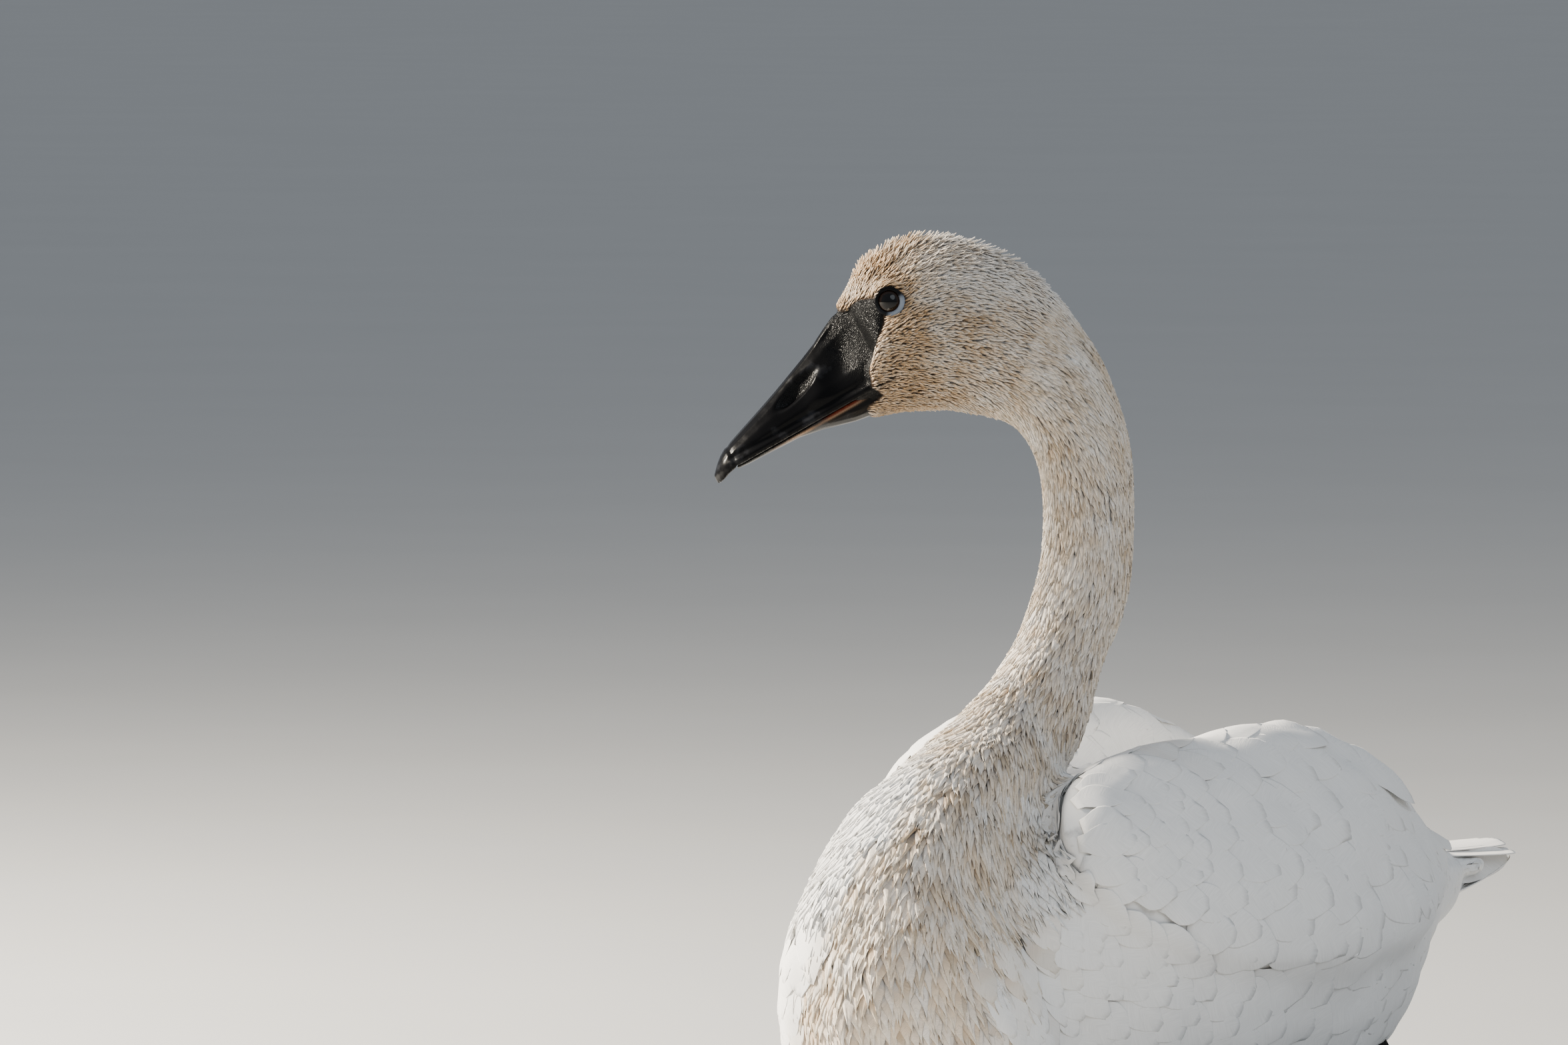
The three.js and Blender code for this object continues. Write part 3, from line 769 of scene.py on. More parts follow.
def blade_faces(rows):
    """A closed blade of three columns, ridged on top and flat beneath."""
    top = grid_faces(rows, 3)
    i = np.arange(rows - 1) * 3
    under = np.stack([i + 2, i + 5, i + 3, i], 1)
    last = (rows - 1) * 3
    caps = np.array([[0, 1, 2], [last, last + 2, last + 1]])
    return [np.concatenate([top, under]), caps]


def scatter(skin, wanted, spacing, seed):
    """Roots spread evenly over the wanted faces, about spacing apart: places and their faces."""
    rng = np.random.default_rng(seed)
    a, b, c, d = skin.corners(skin.points)
    area = np.linalg.norm(np.cross(c - a, d - b), axis=1) / 2
    expected = np.where(wanted, area / spacing**2, 0)
    tries = int(expected.sum() * 5)
    faces = rng.choice(len(area), tries, p=expected / expected.sum())
    u, v = rng.random((2, tries, 1))
    places = (
        a[faces] * (1 - u) * (1 - v) + b[faces] * u * (1 - v) + c[faces] * u * v + d[faces] * (1 - u) * v
    )
    tree = KDTree(tries)
    for number, place in enumerate(places.tolist()):
        tree.insert(place, number)
    tree.balance()
    kept = np.ones(tries, bool)
    clearance = (0.82 * spacing[faces]).tolist()
    for number, place in enumerate(places.tolist()):
        if kept[number]:
            for _, other, _ in tree.find_range(place, clearance[number]):
                if other > number:
                    kept[other] = False
    return places[kept], faces[kept]


def turned(direction, normal, angle):
    """direction turned about normal by angle, a number for each row."""
    c, s = np.cos(angle)[:, None], np.sin(angle)[:, None]
    return direction * c + np.cross(normal, direction) * s


class Tufts:
    """A coat piece in the making: the tufts' points, faces, colours and bake patches."""

    def __init__(self):
        self.points, self.faces, self.tone, self.barb, self.patch = [], [[], []], [], [], []
        self.count = 0

    def add(self, grid, template, tone, barb, patch):
        """grid is (tufts, points, 3), and template the faces of one tuft."""
        tufts, size, _ = grid.shape
        starts = self.count + np.arange(tufts) * size
        for faces in template:
            moved = faces[None] + starts[:, None, None]
            self.faces[faces.shape[1] == 3].append(moved.reshape(-1, faces.shape[1]))
        self.points.append(grid.reshape(-1, 3))
        self.tone.append(tone.reshape(-1, 3))
        self.barb.append(barb.reshape(-1, 3))
        self.patch.append(patch.reshape(-1, 2))
        self.count += tufts * size

    def finish(self, name, material, slot):
        """The tufts as one piece of the model."""
        face_sets = [np.concatenate(f) for f in self.faces if f]
        obj = make_object(name, np.concatenate(self.points), face_sets, material)
        set_colour(obj.data, "tone", np.concatenate(self.tone))
        set_field(obj.data, "barb", "FLOAT_VECTOR", "vector", np.concatenate(self.barb))
        bake_map(obj.data, np.concatenate(self.patch))
        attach(obj, "root")


def bake_map(mesh, places):
    """The map OFBake, with places brought to fill the square."""
    low, high = places.min(0), places.max(0)
    corners = rows_of(mesh.loops, "vertex_index", 1, np.int32).ravel()
    filled = (places - low) / (high - low)
    layer = mesh.uv_layers.new(name="OFBake")
    layer.data.foreach_set("uv", filled[corners].astype(np.float32).ravel())


def unwrap_body(places):
    """The places on an unwrap of the body: along it, and round its middle line."""
    round_it = np.arctan2(places[:, 0], places[:, 2] - 0.1)
    return np.stack([(places[:, 1] + 0.25) / 0.7, round_it / (2 * math.pi) + 0.5], 1)


def unwrap_neck(skin, places, faces):
    """The same for the head and neck, whose middle line is curved."""
    flow = skin.at(skin.flow, places, faces)
    middle = skin.middle_at(flow)
    tangent = unit(skin.middle_at(flow + 0.01) - middle + 1e-9)
    share = ramp(places[:, 2], 0.2, 0.38)
    aside = mix(np.array((1.0, 0.0, 0.0)), HEAD_LEFT, share)
    aside = unit(aside - (aside * tangent).sum(1)[:, None] * tangent)
    over = np.cross(tangent, aside)
    gap = places - middle
    round_it = np.arctan2((gap * aside).sum(1), (gap * over).sum(1))
    reach = np.interp(flow, skin.levels, skin.distances)
    return np.stack([reach / 0.5, round_it / (2 * math.pi) + 0.5], 1)


def lay_paths(skin, places, faces, length, rows, turn):
    """Middle lines over the skin along the lie of the coat: places, normals and tangents by row.

    A line that comes to the end of a wing or of the tail runs on straight, free of the skin.
    """
    line, ups, ways, spots = [], [], [], []
    step = length / (rows - 1)
    free = np.ones((len(places), 1))
    up = way = 0
    for _ in range(rows):
        up = unit(free * unit(skin.at(skin.normals, places, faces)) + (1 - free) * up)
        along = turned(skin.at(skin.lie, places, faces), up, turn)
        way = unit(free * along + (1 - free) * way)
        way = unit(way - (way * up).sum(1)[:, None] * up)
        line.append(places)
        ups.append(up)
        ways.append(way)
        spots.append(faces)
        goal = places + way * step[:, None]
        snapped, faces = skin.drop(goal)
        gap = np.linalg.norm(goal - snapped, axis=1)
        held = np.minimum(1, 0.4 * step / np.maximum(gap, 1e-9))
        places = goal + (snapped - goal) * held[:, None]
        free = ramp(gap * (1 - held), 4 * MM, 0.5 * MM)[:, None]
    return (np.stack(v, 1) for v in (line, ups, ways, spots))


def lay_tufts(skin, roots, style, rng, body):
    """Tufts from their roots over the skin, in one of the styles below: what Tufts.add takes."""
    places, faces = roots
    tufts = len(places)
    across = np.array(style["across"])
    rows, cols = len(style["stations"]), len(across)
    reach = skin.at(skin.reach, places, faces)
    sizes = (style[key](places, reach) for key in ("length", "width"))
    length, width = (size * rng.uniform(0.85, 1.15, tufts) for size in sizes)
    turn = rng.normal(0, style["stray"], tufts) + style.get("turn", 0) * np.sign(places[:, 0])
    line, up, way, spots = lay_paths(skin, places, faces, length, rows, turn)
    length = length[:, None, None]
    share = np.array(style["stations"])[None, :, None]  # along each tuft, 0 to 1
    half = width[:, None, None] / 2 * style["outline"](share)
    ragged = 1 + rng.uniform(-1, 1, (tufts, 1, cols)) * style["ragged"] * (0.4 + np.abs(across))
    ragged = np.minimum(ragged, 1.0) * (1 - style["point"] * across**2)
    grid = line[:, :, None] + np.cross(up, way)[:, :, None] * (half * across)[..., None]
    grid = grid + way[:, :, None] * ((ragged - 1) * share * length)[..., None]
    depth = skin.at(skin.depth, line.reshape(-1, 3), spots.reshape(-1)).reshape(tufts, rows, 1)
    normal = np.repeat(up[:, :, None], cols, 2)
    if style["solid"] == "sheet":
        rigid = ramp(skin.at(skin.wing, places, faces), 0.2, 0.8) * ramp(places[:, 1], -40 * MM, 20 * MM)
        grid, normal, depth = bent_to_skin(skin, grid, normal, rigid[:, None, None])
    loose = rng.normal(0, 1, (tufts, 1, 1))
    height = depth * rise_of_tufts(style, places, share, across, loose)
    if "proud" in style:
        height = height + style["proud"](places, reach)[:, None, None] * ramp(share, 0.3, 1)
    height = height * (0.55 + 0.45 * ramp(reach, 2 * MM, 20 * MM))[:, None, None]  # low where the bill begins
    chance = rng.random((tufts, 1, 1))
    uv = unwrap_body(places) if body else unwrap_neck(skin, places, faces)
    marks = (
        tuft_tone(places, reach, share + 0 * across, chance),
        barb_lines(half * across / MM, share * length / MM, chance).reshape(tufts, -1, 3),
        bake_patches(uv, share, across),
    )
    low = line + up * (height.min(2) * 0.25)[..., None]
    return closed_tufts(style, grid + normal * height[..., None], normal, low, marks)


def bent_to_skin(skin, grid, normal, rigid):
    """Wide vanes whose edges follow the skin as their middles do: points, normals, and the coat's depth.

    Where rigid is 1 a vane bends only so far round a ridge.
    """
    flat, faces = skin.drop(grid.reshape(-1, 3))
    surface = unit(skin.at(skin.normals, flat, faces)).reshape(grid.shape)
    depth = skin.at(skin.depth, flat, faces).reshape(grid.shape[:3])
    flat = flat.reshape(grid.shape)
    gap = np.linalg.norm(grid - flat, axis=3)
    clear = gap[:, :, grid.shape[2] // 2, None]
    kept = np.minimum(1, clear / np.maximum(gap, 1e-9))
    over = ((grid - flat) * normal).sum(-1) > 0
    stiff = over * ramp((surface * normal).sum(-1), 0.65, 0.2) * rigid
    straight = np.maximum(ramp(clear, 0.5 * MM, 4 * MM), stiff)
    normal = unit(mix(surface, normal, np.broadcast_to(straight, gap.shape)))
    return mix(flat, grid, np.maximum(kept, stiff)), normal, depth


def rise_of_tufts(style, places, share, across, loose):
    """How high each point of the tufts stands, as a share of the coat's depth."""
    crest = style.get("crest", 0) * ramp(in_head(places)[2], 4 * MM, 20 * MM)[:, None, None]
    lift = 1 + np.minimum(loose, style["most"]) * style["unruly"] * share
    lift = lift + np.clip(loose, 0, 1.3) * crest * share
    inwards = -np.sign(places[:, 0])[:, None, None]
    crown = 1 - style["crown"] * across**2 + style.get("tilt", 0) * across * inwards
    return style["rise"](share) * lift * crown


def closed_tufts(style, top, normal, low, marks):
    """The tops of tufts closed beneath: their points, one tuft's faces, and the marks of every point."""
    tufts, rows, cols, _ = top.shape
    top = top.reshape(tufts, -1, 3)
    if style["solid"] == "blade":
        return top, blade_faces(rows), *marks
    if style["solid"] == "keel":
        middle = np.arange(rows) * cols + cols // 2
        marks = (np.concatenate([v, v[:, middle]], 1) for v in marks)
        return np.concatenate([top, low], 1), keel_faces(rows, cols), *marks
    share = np.array(style["stations"])[:, None]
    thick = style["thick"] * (1 - 0.8 * np.maximum(np.abs(style["across"]) ** 4, share**14))
    under = top - normal.reshape(tufts, -1, 3) * thick.reshape(-1, 1)
    marks = (np.concatenate([v, v], 1) for v in marks)
    return np.concatenate([top, under], 1), sheet_faces(rows, cols), *marks


def tuft_tone(places, reach, share, chance):
    """The colour of each point of the tufts, and black along the line behind the mouth."""
    shape = np.broadcast_arrays(stain_of(reach, places)[:, None, None], share, chance + 0 * share)
    tone = plumage_colour(*shape)
    black = np.broadcast_to(parting(places)[:, None, None] * 0.8, tone.shape[:3])
    return mix(tone, BLACK, black).reshape(len(places), -1, 3)


def barb_lines(aside, along, chance):
    """Each point's distance along its barb's line and aside, in millimetres, and its feather's chance."""
    along = along - np.abs(aside) * 1.1
    return np.stack(np.broadcast_arrays(along, aside, chance * 50 + 0 * along), -1)


def bake_patches(uv, share, across):
    """Each tuft's patch on the bake map, about its root's place uv."""
    patch = np.stack(np.broadcast_arrays(across + 0 * share, 2 * share - 1), -1)
    return (uv[:, None, None] + PATCH / 2 * patch).reshape(len(uv), -1, 2)


def constant(value):
    """The same size everywhere, in metres."""
    return lambda place, reach: np.full(len(reach), value)


def by_reach(*rows):
    """A size in millimetres that follows the distance from the bill, also in millimetres."""
    return lambda place, reach: table(reach, rows)


def pointed(share):
    """A tuft that is widest before its middle and ends in a point."""
    return np.where(share < 0.35, 0.6 + 0.4 * ramp(share, 0, 0.35), (1 - ramp(share, 0.35, 1.12)))


def rounded(share):
    """A body feather: narrow root, broad vane, and a round tip."""
    tip = np.sqrt(np.clip(1 - ((share - 0.6) / 0.415) ** 2, 0, 1))
    return np.where(share < 0.6, 0.45 + 0.55 * ramp(share, 0, 0.5), tip)


def flush_rise(share):
    """A body feather that comes up from under the last and lies flush with the next."""
    return 0.3 + 0.65 * (1 - (1 - share) ** 2.2) - 0.035 * ramp(share, 0.85, 1)


def low_rise(share):
    """A neck tuft, close to those about it."""
    return 0.48 + 0.5 * share


def lifted_rise(share):
    """A head tuft, whose tip stands up a little."""
    return 0.22 + 0.78 * share**0.8


def sized(*rows):
    """A size in millimetres that follows the distance behind the origin, also in millimetres."""
    return lambda place, reach: table(place[..., 1], rows)


# How each kind of tuft is made. Its points lie at stations along it and at across from edge to edge. Its
# length, width and the spacing of its roots follow its place, and its outline and rise its own length.
# ragged and point cut its tip back, stray and turn swing it aside, unruly, most, crest and proud lift its
# tip, and crown and tilt lower its edges.
HEAD_STYLE = {
    "solid": "blade", "stations": (0, 0.5, 1), "across": (-1, 0, 1),
    "length": by_reach((0, 3.4), (30, 4.4), (80, 5.6), (140, 7)),
    "width": by_reach((0, 1.05), (30, 1.4), (80, 1.8), (140, 2.1)),
    "spacing": by_reach((0, 1.1), (40, 1.25), (110, 1.5)),
    "outline": pointed, "rise": lifted_rise, "ragged": 0, "point": 0, "stray": 0.16,
    "unruly": 0.18, "most": 3, "crest": 1.1, "crown": 0.2,
}
NECK_STYLE = {
    "solid": "keel", "stations": (0, 0.34, 0.7, 1), "across": (-1, -0.5, 0, 0.5, 1),
    "length": by_reach((100, 7), (200, 10), (320, 13), (440, 18)),
    "width": by_reach((100, 2.1), (200, 2.7), (320, 3.7), (440, 6.6)),
    "spacing": by_reach((100, 1.6), (200, 1.95), (320, 2.45), (440, 3.7)),
    "outline": pointed, "rise": low_rise, "ragged": 0.2, "point": 0.1, "stray": 0.13,
    "unruly": 0.06, "most": 2, "crown": 0.13,
}
BREAST_STYLE = {
    **NECK_STYLE, "stations": (0, 0.2, 0.42, 0.64, 0.84, 1),
    "across": (-1, -0.62, -0.3, 0, 0.3, 0.62, 1),
    "length": by_reach((430, 17), (500, 26), (580, 36), (700, 38)),
    "width": by_reach((430, 6.4), (500, 10.4), (580, 15), (700, 17)),
    "spacing": by_reach((430, 3.6), (500, 5.4), (580, 7.6), (700, 8.6)),
    "ragged": 0.14, "stray": 0.1, "unruly": 0.04, "crown": 0.09,
}
BODY_STYLE = {
    "solid": "sheet", "stations": (0, 0.14, 0.3, 0.46, 0.62, 0.76, 0.88, 0.96, 1),
    "across": (-1, -0.93, -0.6, -0.28, 0, 0.28, 0.6, 0.93, 1),
    "length": sized((-170, 28), (-100, 40), (-20, 60), (120, 72), (200, 66), (262, 38), (330, 32)),
    "width": sized((-170, 18), (-100, 26), (-20, 38), (120, 38), (200, 34), (262, 18), (330, 14)),
    "spacing": sized((-170, 9.4), (-100, 14.6), (-20, 20), (120, 21), (200, 19), (262, 10.5), (330, 8)),
    "outline": rounded, "rise": flush_rise, "ragged": 0.02, "point": 0.0, "stray": 0.06,
    "unruly": 0.03, "most": 0.3, "crown": 0.05, "tilt": 0.02, "thick": 0.3 * MM,
}
LONG_STYLE = {
    **BODY_STYLE, "stations": tuple(1 - (1 - k / 12) ** 1.25 for k in range(13)),
    "length": sized((0, 84), (80, 112), (160, 104), (220, 72), (262, 36)),
    "width": sized((0, 38), (120, 40), (220, 28), (272, 13)),
    "spacing": sized((0, 19), (120, 21), (220, 13), (272, 6.5)),
    "stray": 0.03, "tilt": 0.03,
}
TIP_STYLE = {
    **LONG_STYLE, "length": constant(76 * MM), "width": constant(34 * MM), "turn": 0.1,
    "proud": sized((26, 2), (99, 4.5)),
}


# ---- Materials ---------------------------------------------------------------------------------------


class Nodes:
    """A material's node tree, with short ways to add and join nodes."""

    def __init__(self, name):
        self.material = bpy.data.materials.new(name)
        self.material.use_nodes = True
        self.tree = self.material.node_tree
        self.shader = self.tree.nodes["Principled BSDF"]

    def add(self, kind, **settings):
        node = self.tree.nodes.new(kind)
        for key, value in settings.items():
            setattr(node, key, value)
        return node

    def join(self, source, target):
        self.tree.links.new(source, target)

    def attribute(self, name, output="Color"):
        return self.add("ShaderNodeAttribute", attribute_name=name).outputs[output]

    def give(self, value, socket):
        """Joins a node's output to the socket, or sets it to a number, a vector or a colour."""
        if isinstance(value, bpy.types.NodeSocket):
            self.join(value, socket)
        elif socket.type == "RGBA":
            socket.default_value = (*value, 1)
        else:
            socket.default_value = value

    def math(self, operation, first, second, output="Value", kind="ShaderNodeMath"):
        node = self.add(kind, operation=operation)
        self.give(first, node.inputs[0])
        self.give(second, node.inputs[1])
        return node.outputs[output]

    def vector_math(self, operation, first, second, output="Vector"):
        return self.math(operation, first, second, output, "ShaderNodeVectorMath")

    def place(self):
        """Each point's place on its object."""
        return self.add("ShaderNodeTexCoord").outputs["Object"]

    def mixed(self, factor, first, second, blend="MIX"):
        """The colour first where factor is 0, going over to second where it is 1."""
        node = self.add("ShaderNodeMix", data_type="RGBA", blend_type=blend)
        for value, number in ((factor, 0), (first, 6), (second, 7)):
            self.give(value, node.inputs[number])
        return node.outputs[2]

    def noise(self, scale, detail=3.0, vector=None, roughness=0.5):
        node = self.add("ShaderNodeTexNoise")
        node.inputs["Scale"].default_value = scale
        node.inputs["Detail"].default_value = detail
        node.inputs["Roughness"].default_value = roughness
        self.join(vector or self.place(), node.inputs["Vector"])
        return node.outputs["Fac"]

    def cell_edges(self, scale):
        """The distance to the nearest edge between scattered cells."""
        node = self.add("ShaderNodeTexVoronoi", feature="DISTANCE_TO_EDGE")
        node.inputs["Scale"].default_value = scale
        self.join(self.place(), node.inputs["Vector"])
        return node.outputs["Distance"]

    def spread(self, value, low, high, to_low=0.0, to_high=1.0):
        """value brought from its range low to high on to another, and held inside it."""
        node = self.add("ShaderNodeMapRange")
        for socket, number in zip(node.inputs[1:5], (low, high, to_low, to_high)):
            socket.default_value = number
        self.join(value, node.inputs[0])
        return node.outputs[0]

    def bump(self, height, distance, strength=1.0, normal=None):
        node = self.add("ShaderNodeBump")
        node.inputs["Distance"].default_value = distance
        node.inputs["Strength"].default_value = strength
        self.join(height, node.inputs["Height"])
        if normal is not None:
            self.join(normal, node.inputs["Normal"])
        return node.outputs["Normal"]

    def feed(self, **sources):
        """Joins each source to the shader's input of that name."""
        for name, source in sources.items():
            self.join(source, self.shader.inputs[name.replace("_", " ")])

    def set(self, **values):
        """Gives each of the shader's inputs one value all over."""
        for name, value in values.items():
            self.shader.inputs[name.replace("_", " ")].default_value = value


def feather_material(name, barb_size, barb_bump, streak, gloss):
    """Feather: the tone that the mesh carries, streaked and raised along its barbs."""
    n = Nodes(name)
    stretch = (1 / barb_size, 0.12 / barb_size, 1)
    on_barb = n.vector_math("MULTIPLY", n.attribute("barb", "Vector"), stretch)
    lines = n.noise(1.0, vector=on_barb, roughness=0.6)
    shade = n.spread(lines, 0.3, 0.7, 1 - streak, 1 + streak * 0.25)
    grey = n.add("ShaderNodeCombineColor")
    for socket in grey.inputs[:3]:
        n.join(shade, socket)
    tone = n.mixed(1.0, n.attribute("tone"), grey.outputs[0], "MULTIPLY")
    rough = n.spread(lines, 0.2, 0.8, 0.62 - gloss, 0.82 - gloss)
    n.feed(Base_Color=tone, Roughness=rough, Normal=n.bump(lines, barb_bump))
    n.set(Sheen_Weight=0.15, Sheen_Roughness=0.5, Specular_IOR_Level=0.35 + gloss)
    return n.material


def bare_material(name):
    """Bare skin and horn: matt and finely scaled where polish is 0, smooth and glossy where it is 1."""
    n = Nodes(name)
    polish = n.attribute("polish", "Fac")
    rough = n.math("SUBTRACT", 1.0, polish)
    scales = n.spread(n.cell_edges(1250.0), 0.0, 0.25)
    grain = n.noise(520.0, 4.0)
    cloud = n.noise(75.0, 4.0)
    scuff = n.math("MULTIPLY", n.spread(cloud, 0.56, 0.70), n.math("MULTIPLY", polish, 0.45))
    worn = n.mixed(scuff, n.attribute("tone"), (0.030, 0.032, 0.038))
    bare = n.spread(n.attribute("tone"), 0.02, 0.04, 1.0, 0.0)  # 1 where black, 0 beneath the feathers
    scales = n.math("MULTIPLY", scales, bare)
    dusty = n.math("MULTIPLY", n.math("MULTIPLY", scales, rough), n.spread(grain, 0.35, 0.75, 0.0, 0.55))
    n.feed(Base_Color=n.mixed(dusty, worn, (0.010, 0.011, 0.0095)))
    base = n.spread(cloud, 0.35, 0.7, 0.17, 0.30)
    n.feed(Roughness=n.math("ADD", base, n.math("MULTIPLY", rough, 0.06)))
    creased = n.bump(n.math("MULTIPLY", scales, rough), 0.11 * MM)
    pitted = n.math("MULTIPLY", grain, n.math("ADD", 0.35, rough))
    n.feed(Normal=n.bump(pitted, 0.11 * MM, normal=creased))
    n.set(Specular_IOR_Level=0.06)
    return n.material


def eye_material(centre, out):
    """Eye: a dark brown iris round a black pupil, under a clear wet cornea."""
    n = Nodes("eye_" + ("left" if out @ HEAD_LEFT > 0 else "right"))
    gap = n.vector_math("SUBTRACT", n.place(), centre)
    facing = n.math("DIVIDE", n.vector_math("DOT_PRODUCT", gap, out, "Value"), EYE_RADIUS)
    fibres = n.noise(2500.0, 2.0)
    iris = n.mixed(fibres, (0.006, 0.0028, 0.0014), (0.016, 0.007, 0.003))
    n.feed(Base_Color=n.mixed(n.spread(facing, 0.86, 0.88), iris, (0.001, 0.001, 0.001)))
    n.set(Roughness=0.05, Specular_IOR_Level=0.3)
    return n.material


def claw_material():
    """Claw: dark horn with fine streaks."""
    n = Nodes("claw_horn")
    streaks = n.noise(500.0, 3.0)
    colour = n.mixed(streaks, (0.010, 0.009, 0.009), (0.040, 0.036, 0.033))
    n.feed(Base_Color=colour, Normal=n.bump(streaks, 0.1 * MM))
    n.set(Roughness=0.35)
    return n.material


def floor_material():
    """Floor: matt and pale, with a faint cloudiness."""
    n = Nodes("studio_floor")
    cloud = n.noise(3.0, 4.0)
    colour = n.mixed(cloud, (0.50, 0.50, 0.495), (0.54, 0.54, 0.535))
    n.feed(Base_Color=colour, Normal=n.bump(n.noise(400.0, 2.0), 0.1 * MM, strength=0.3))
    n.set(Roughness=0.8)
    return n.material


# ---- The skin piece --------------------------------------------------------------------------------


def polish_of(points):
    """How smooth and glossy the bare skin or horn is: matt by the eye and in the bill's hollows."""
    along, _, high = on_bill_in_mm(points)
    _, _, out = nostril_place(along, high)
    dull = 0.9 * hump(along - 4, high - 28, 10, 11)
    dull = np.maximum(dull, 0.8 * (1 - ramp(out, 0.6, 1.0)))
    return ramp(along, -6, 14) * (1 - dull)


def skin_colour(skin):
    """The coat's markings on the skin, with the painted shade of the gaps between the tufts, and black where
    it is bare.
    """
    stain = stain_of(skin.reach, skin.points)
    # The skin under the coat takes the roots' colour, stain's brown and painted shade of the gaps between the
    # tufts.
    return mix(root_stain_and_gap_shade(stain), BLACK, np.maximum(bareness(skin.outer), parting(skin.outer)))


def open_mesh(points, quads, dropped):
    """What stays when the faces that touch a dropped point go: the points' numbers, and the faces."""
    kept = quads[~dropped[quads].any(1)]
    used = np.unique(kept)
    number = np.zeros(len(points), int)
    number[used] = np.arange(len(used))
    return used, number[kept]


def lid_ring(side, centre):
    """The rim of the lids round one eye: points, faces and colours."""
    out = out_of_eye(side)
    rings, tube = 56, 12
    points, tones = [], []
    for i in range(rings):
        turn = 2 * math.pi * i / rings
        spoke = HEADING * math.cos(turn) + UP * math.sin(turn)
        behind = max(0.0, -math.cos(turn - 0.6))  # strongest behind and below the eye
        pale = float(ramp(behind, 0.35, 0.75))
        broad = LID_TUBE * (1 + 0.3 * pale)
        middle = centre + spoke * (EYE_OPENING + broad) + out * (LID_ASIDE - EYE_ASIDE - 0.15 * MM)
        for j in range(tube):
            roll = 2 * math.pi * j / tube
            offset = spoke * math.cos(roll) * broad + out * math.sin(roll) * LID_TUBE * 0.85
            points.append(middle + offset)
            tones.append(mix(BLACK, LID_PALE, pale))
    quads = tube_faces(rings, tube, closed=True)
    if side == "left":
        quads = quads[:, ::-1]
    return np.array(points), quads, np.array(tones), np.full(len(points), LID_POLISH)


def limb_skin():
    """The legs and feet, which are bare black skin."""
    mesh = voxel_mesh("limbs", LIMBS, FOOT_VOXEL, SEAM_SWELL)
    edges = edges_of(mesh)
    points = evened(points_of(mesh), edges, 6)
    points[:, 2] = np.maximum(points[:, 2], 0)
    quads = quads_of(mesh)
    bpy.data.meshes.remove(mesh)
    return points, quads, np.tile(LIMB_BLACK, (len(points), 1)), np.full(len(points), LIMB_POLISH)


def build_skin_piece(skin):
    """The skin with its lids, legs and feet, open behind the eyes and inside the bill."""
    in_opening = beside_eye(skin.points, EYE_OPENING + 0.3 * MM)
    in_bill = (on_bill(skin.points)[0] > BILL_ENTRY) & (skin.points[:, 2] > HEAD_LEVEL)
    used, quads = open_mesh(skin.points, skin.quads, in_opening | in_bill)
    kept = skin.points[used]
    parts = [(kept, quads, skin_colour(skin)[used], polish_of(kept))]
    parts += [lid_ring(side, centre) for side, centre in EYES.items()]
    parts.append(limb_skin())
    points, faces = joined([part[:2] for part in parts])
    _, _, tones, polish = zip(*parts)
    obj = make_object("skin", points, face_sets_of(faces), bare_material("bare_skin"))
    set_colour(obj.data, "tone", np.concatenate(tones))
    set_field(obj.data, "polish", "FLOAT", "value", np.concatenate(polish))
    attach(obj, "root")
    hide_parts(*COATED, *LIMBS)


# ---- Bill, eyes and claws ---------------------------------------------------------------------------


def upper_bill_colour(points):
    """Black, a little worn towards the tip."""
    along = on_bill(points)[0] / MM
    return mix(BLACK, BLACK * 1.2, ramp(along, 50, 75))


def lower_bill_colour(points):
    """Black, with the red gape line on its upper edge and a tan line beneath that."""
    along, _, high = on_bill_in_mm(points)
    tan_share = hump(high + 2.2, 0, 0.7, 1) * ramp(along, 2, 12) * ramp(along, 70, 45)
    red_share = ramp(high, -2.6, -1.2) * ramp(along, 6, 12) * ramp(along, 34, 24)
    return mix(mix(BLACK, GAPE_TAN, tan_share * 0.6), GAPE_RED, red_share)


def build_bill(node, relief, colour, horn):
    """One mandible, smoothed from its CAD form and sculpted."""
    mesh = voxel_mesh(node + "_form", [node], BILL_VOXEL, 0)
    edges = edges_of(mesh)
    points = evened(points_of(mesh), edges, 14)
    set_points(mesh, points)
    points = points + normals_of(mesh) * relief(points, normals_of(mesh))[:, None]
    points = evened(points, edges, 2)
    quads = quads_of(mesh)
    bpy.data.meshes.remove(mesh)
    name = node.replace("bill_", "") + "_bill"
    obj = make_object(name, points, face_sets_of(quads), horn)
    set_colour(obj.data, "tone", colour(points))
    set_field(obj.data, "polish", "FLOAT", "value", polish_of(points))
    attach(obj, "root")
    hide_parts(node)
    return points, quads


def build_eye(side, centre):
    """An eyeball whose cornea bulges a little."""
    out = out_of_eye(side)
    bm = bmesh.new()
    bmesh.ops.create_icosphere(bm, subdivisions=5, radius=EYE_RADIUS)
    mesh = mesh_of(bm, "eyeball_" + side)
    mesh.shade_smooth()
    points = points_of(mesh)
    cornea = ramp(points @ out, 0.8 * EYE_RADIUS, EYE_RADIUS)
    points += np.outer(cornea * 0.35 * MM, out)
    set_points(mesh, points + centre)
    obj = placed("eyeball_" + side, mesh)
    mesh.materials.append(eye_material(tuple(centre), out))
    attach(obj, "root")
    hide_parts("eye_" + side)


# The feet's own dimensions: the joint where the toes meet, and each toe's length and angle.
TOE_JOINT = (84 * MM, 62 * MM)
TOES = ((98 * MM, math.radians(-11)), (132 * MM, math.radians(5)), (124 * MM, math.radians(20)))
HIND_TOE = (19 * MM, math.radians(155))
CLAW_LENGTH = 10 * MM
CLAW_RADIUS = 2.1 * MM
HIND_CLAW = 0.6  # the hind toe's claw beside the others


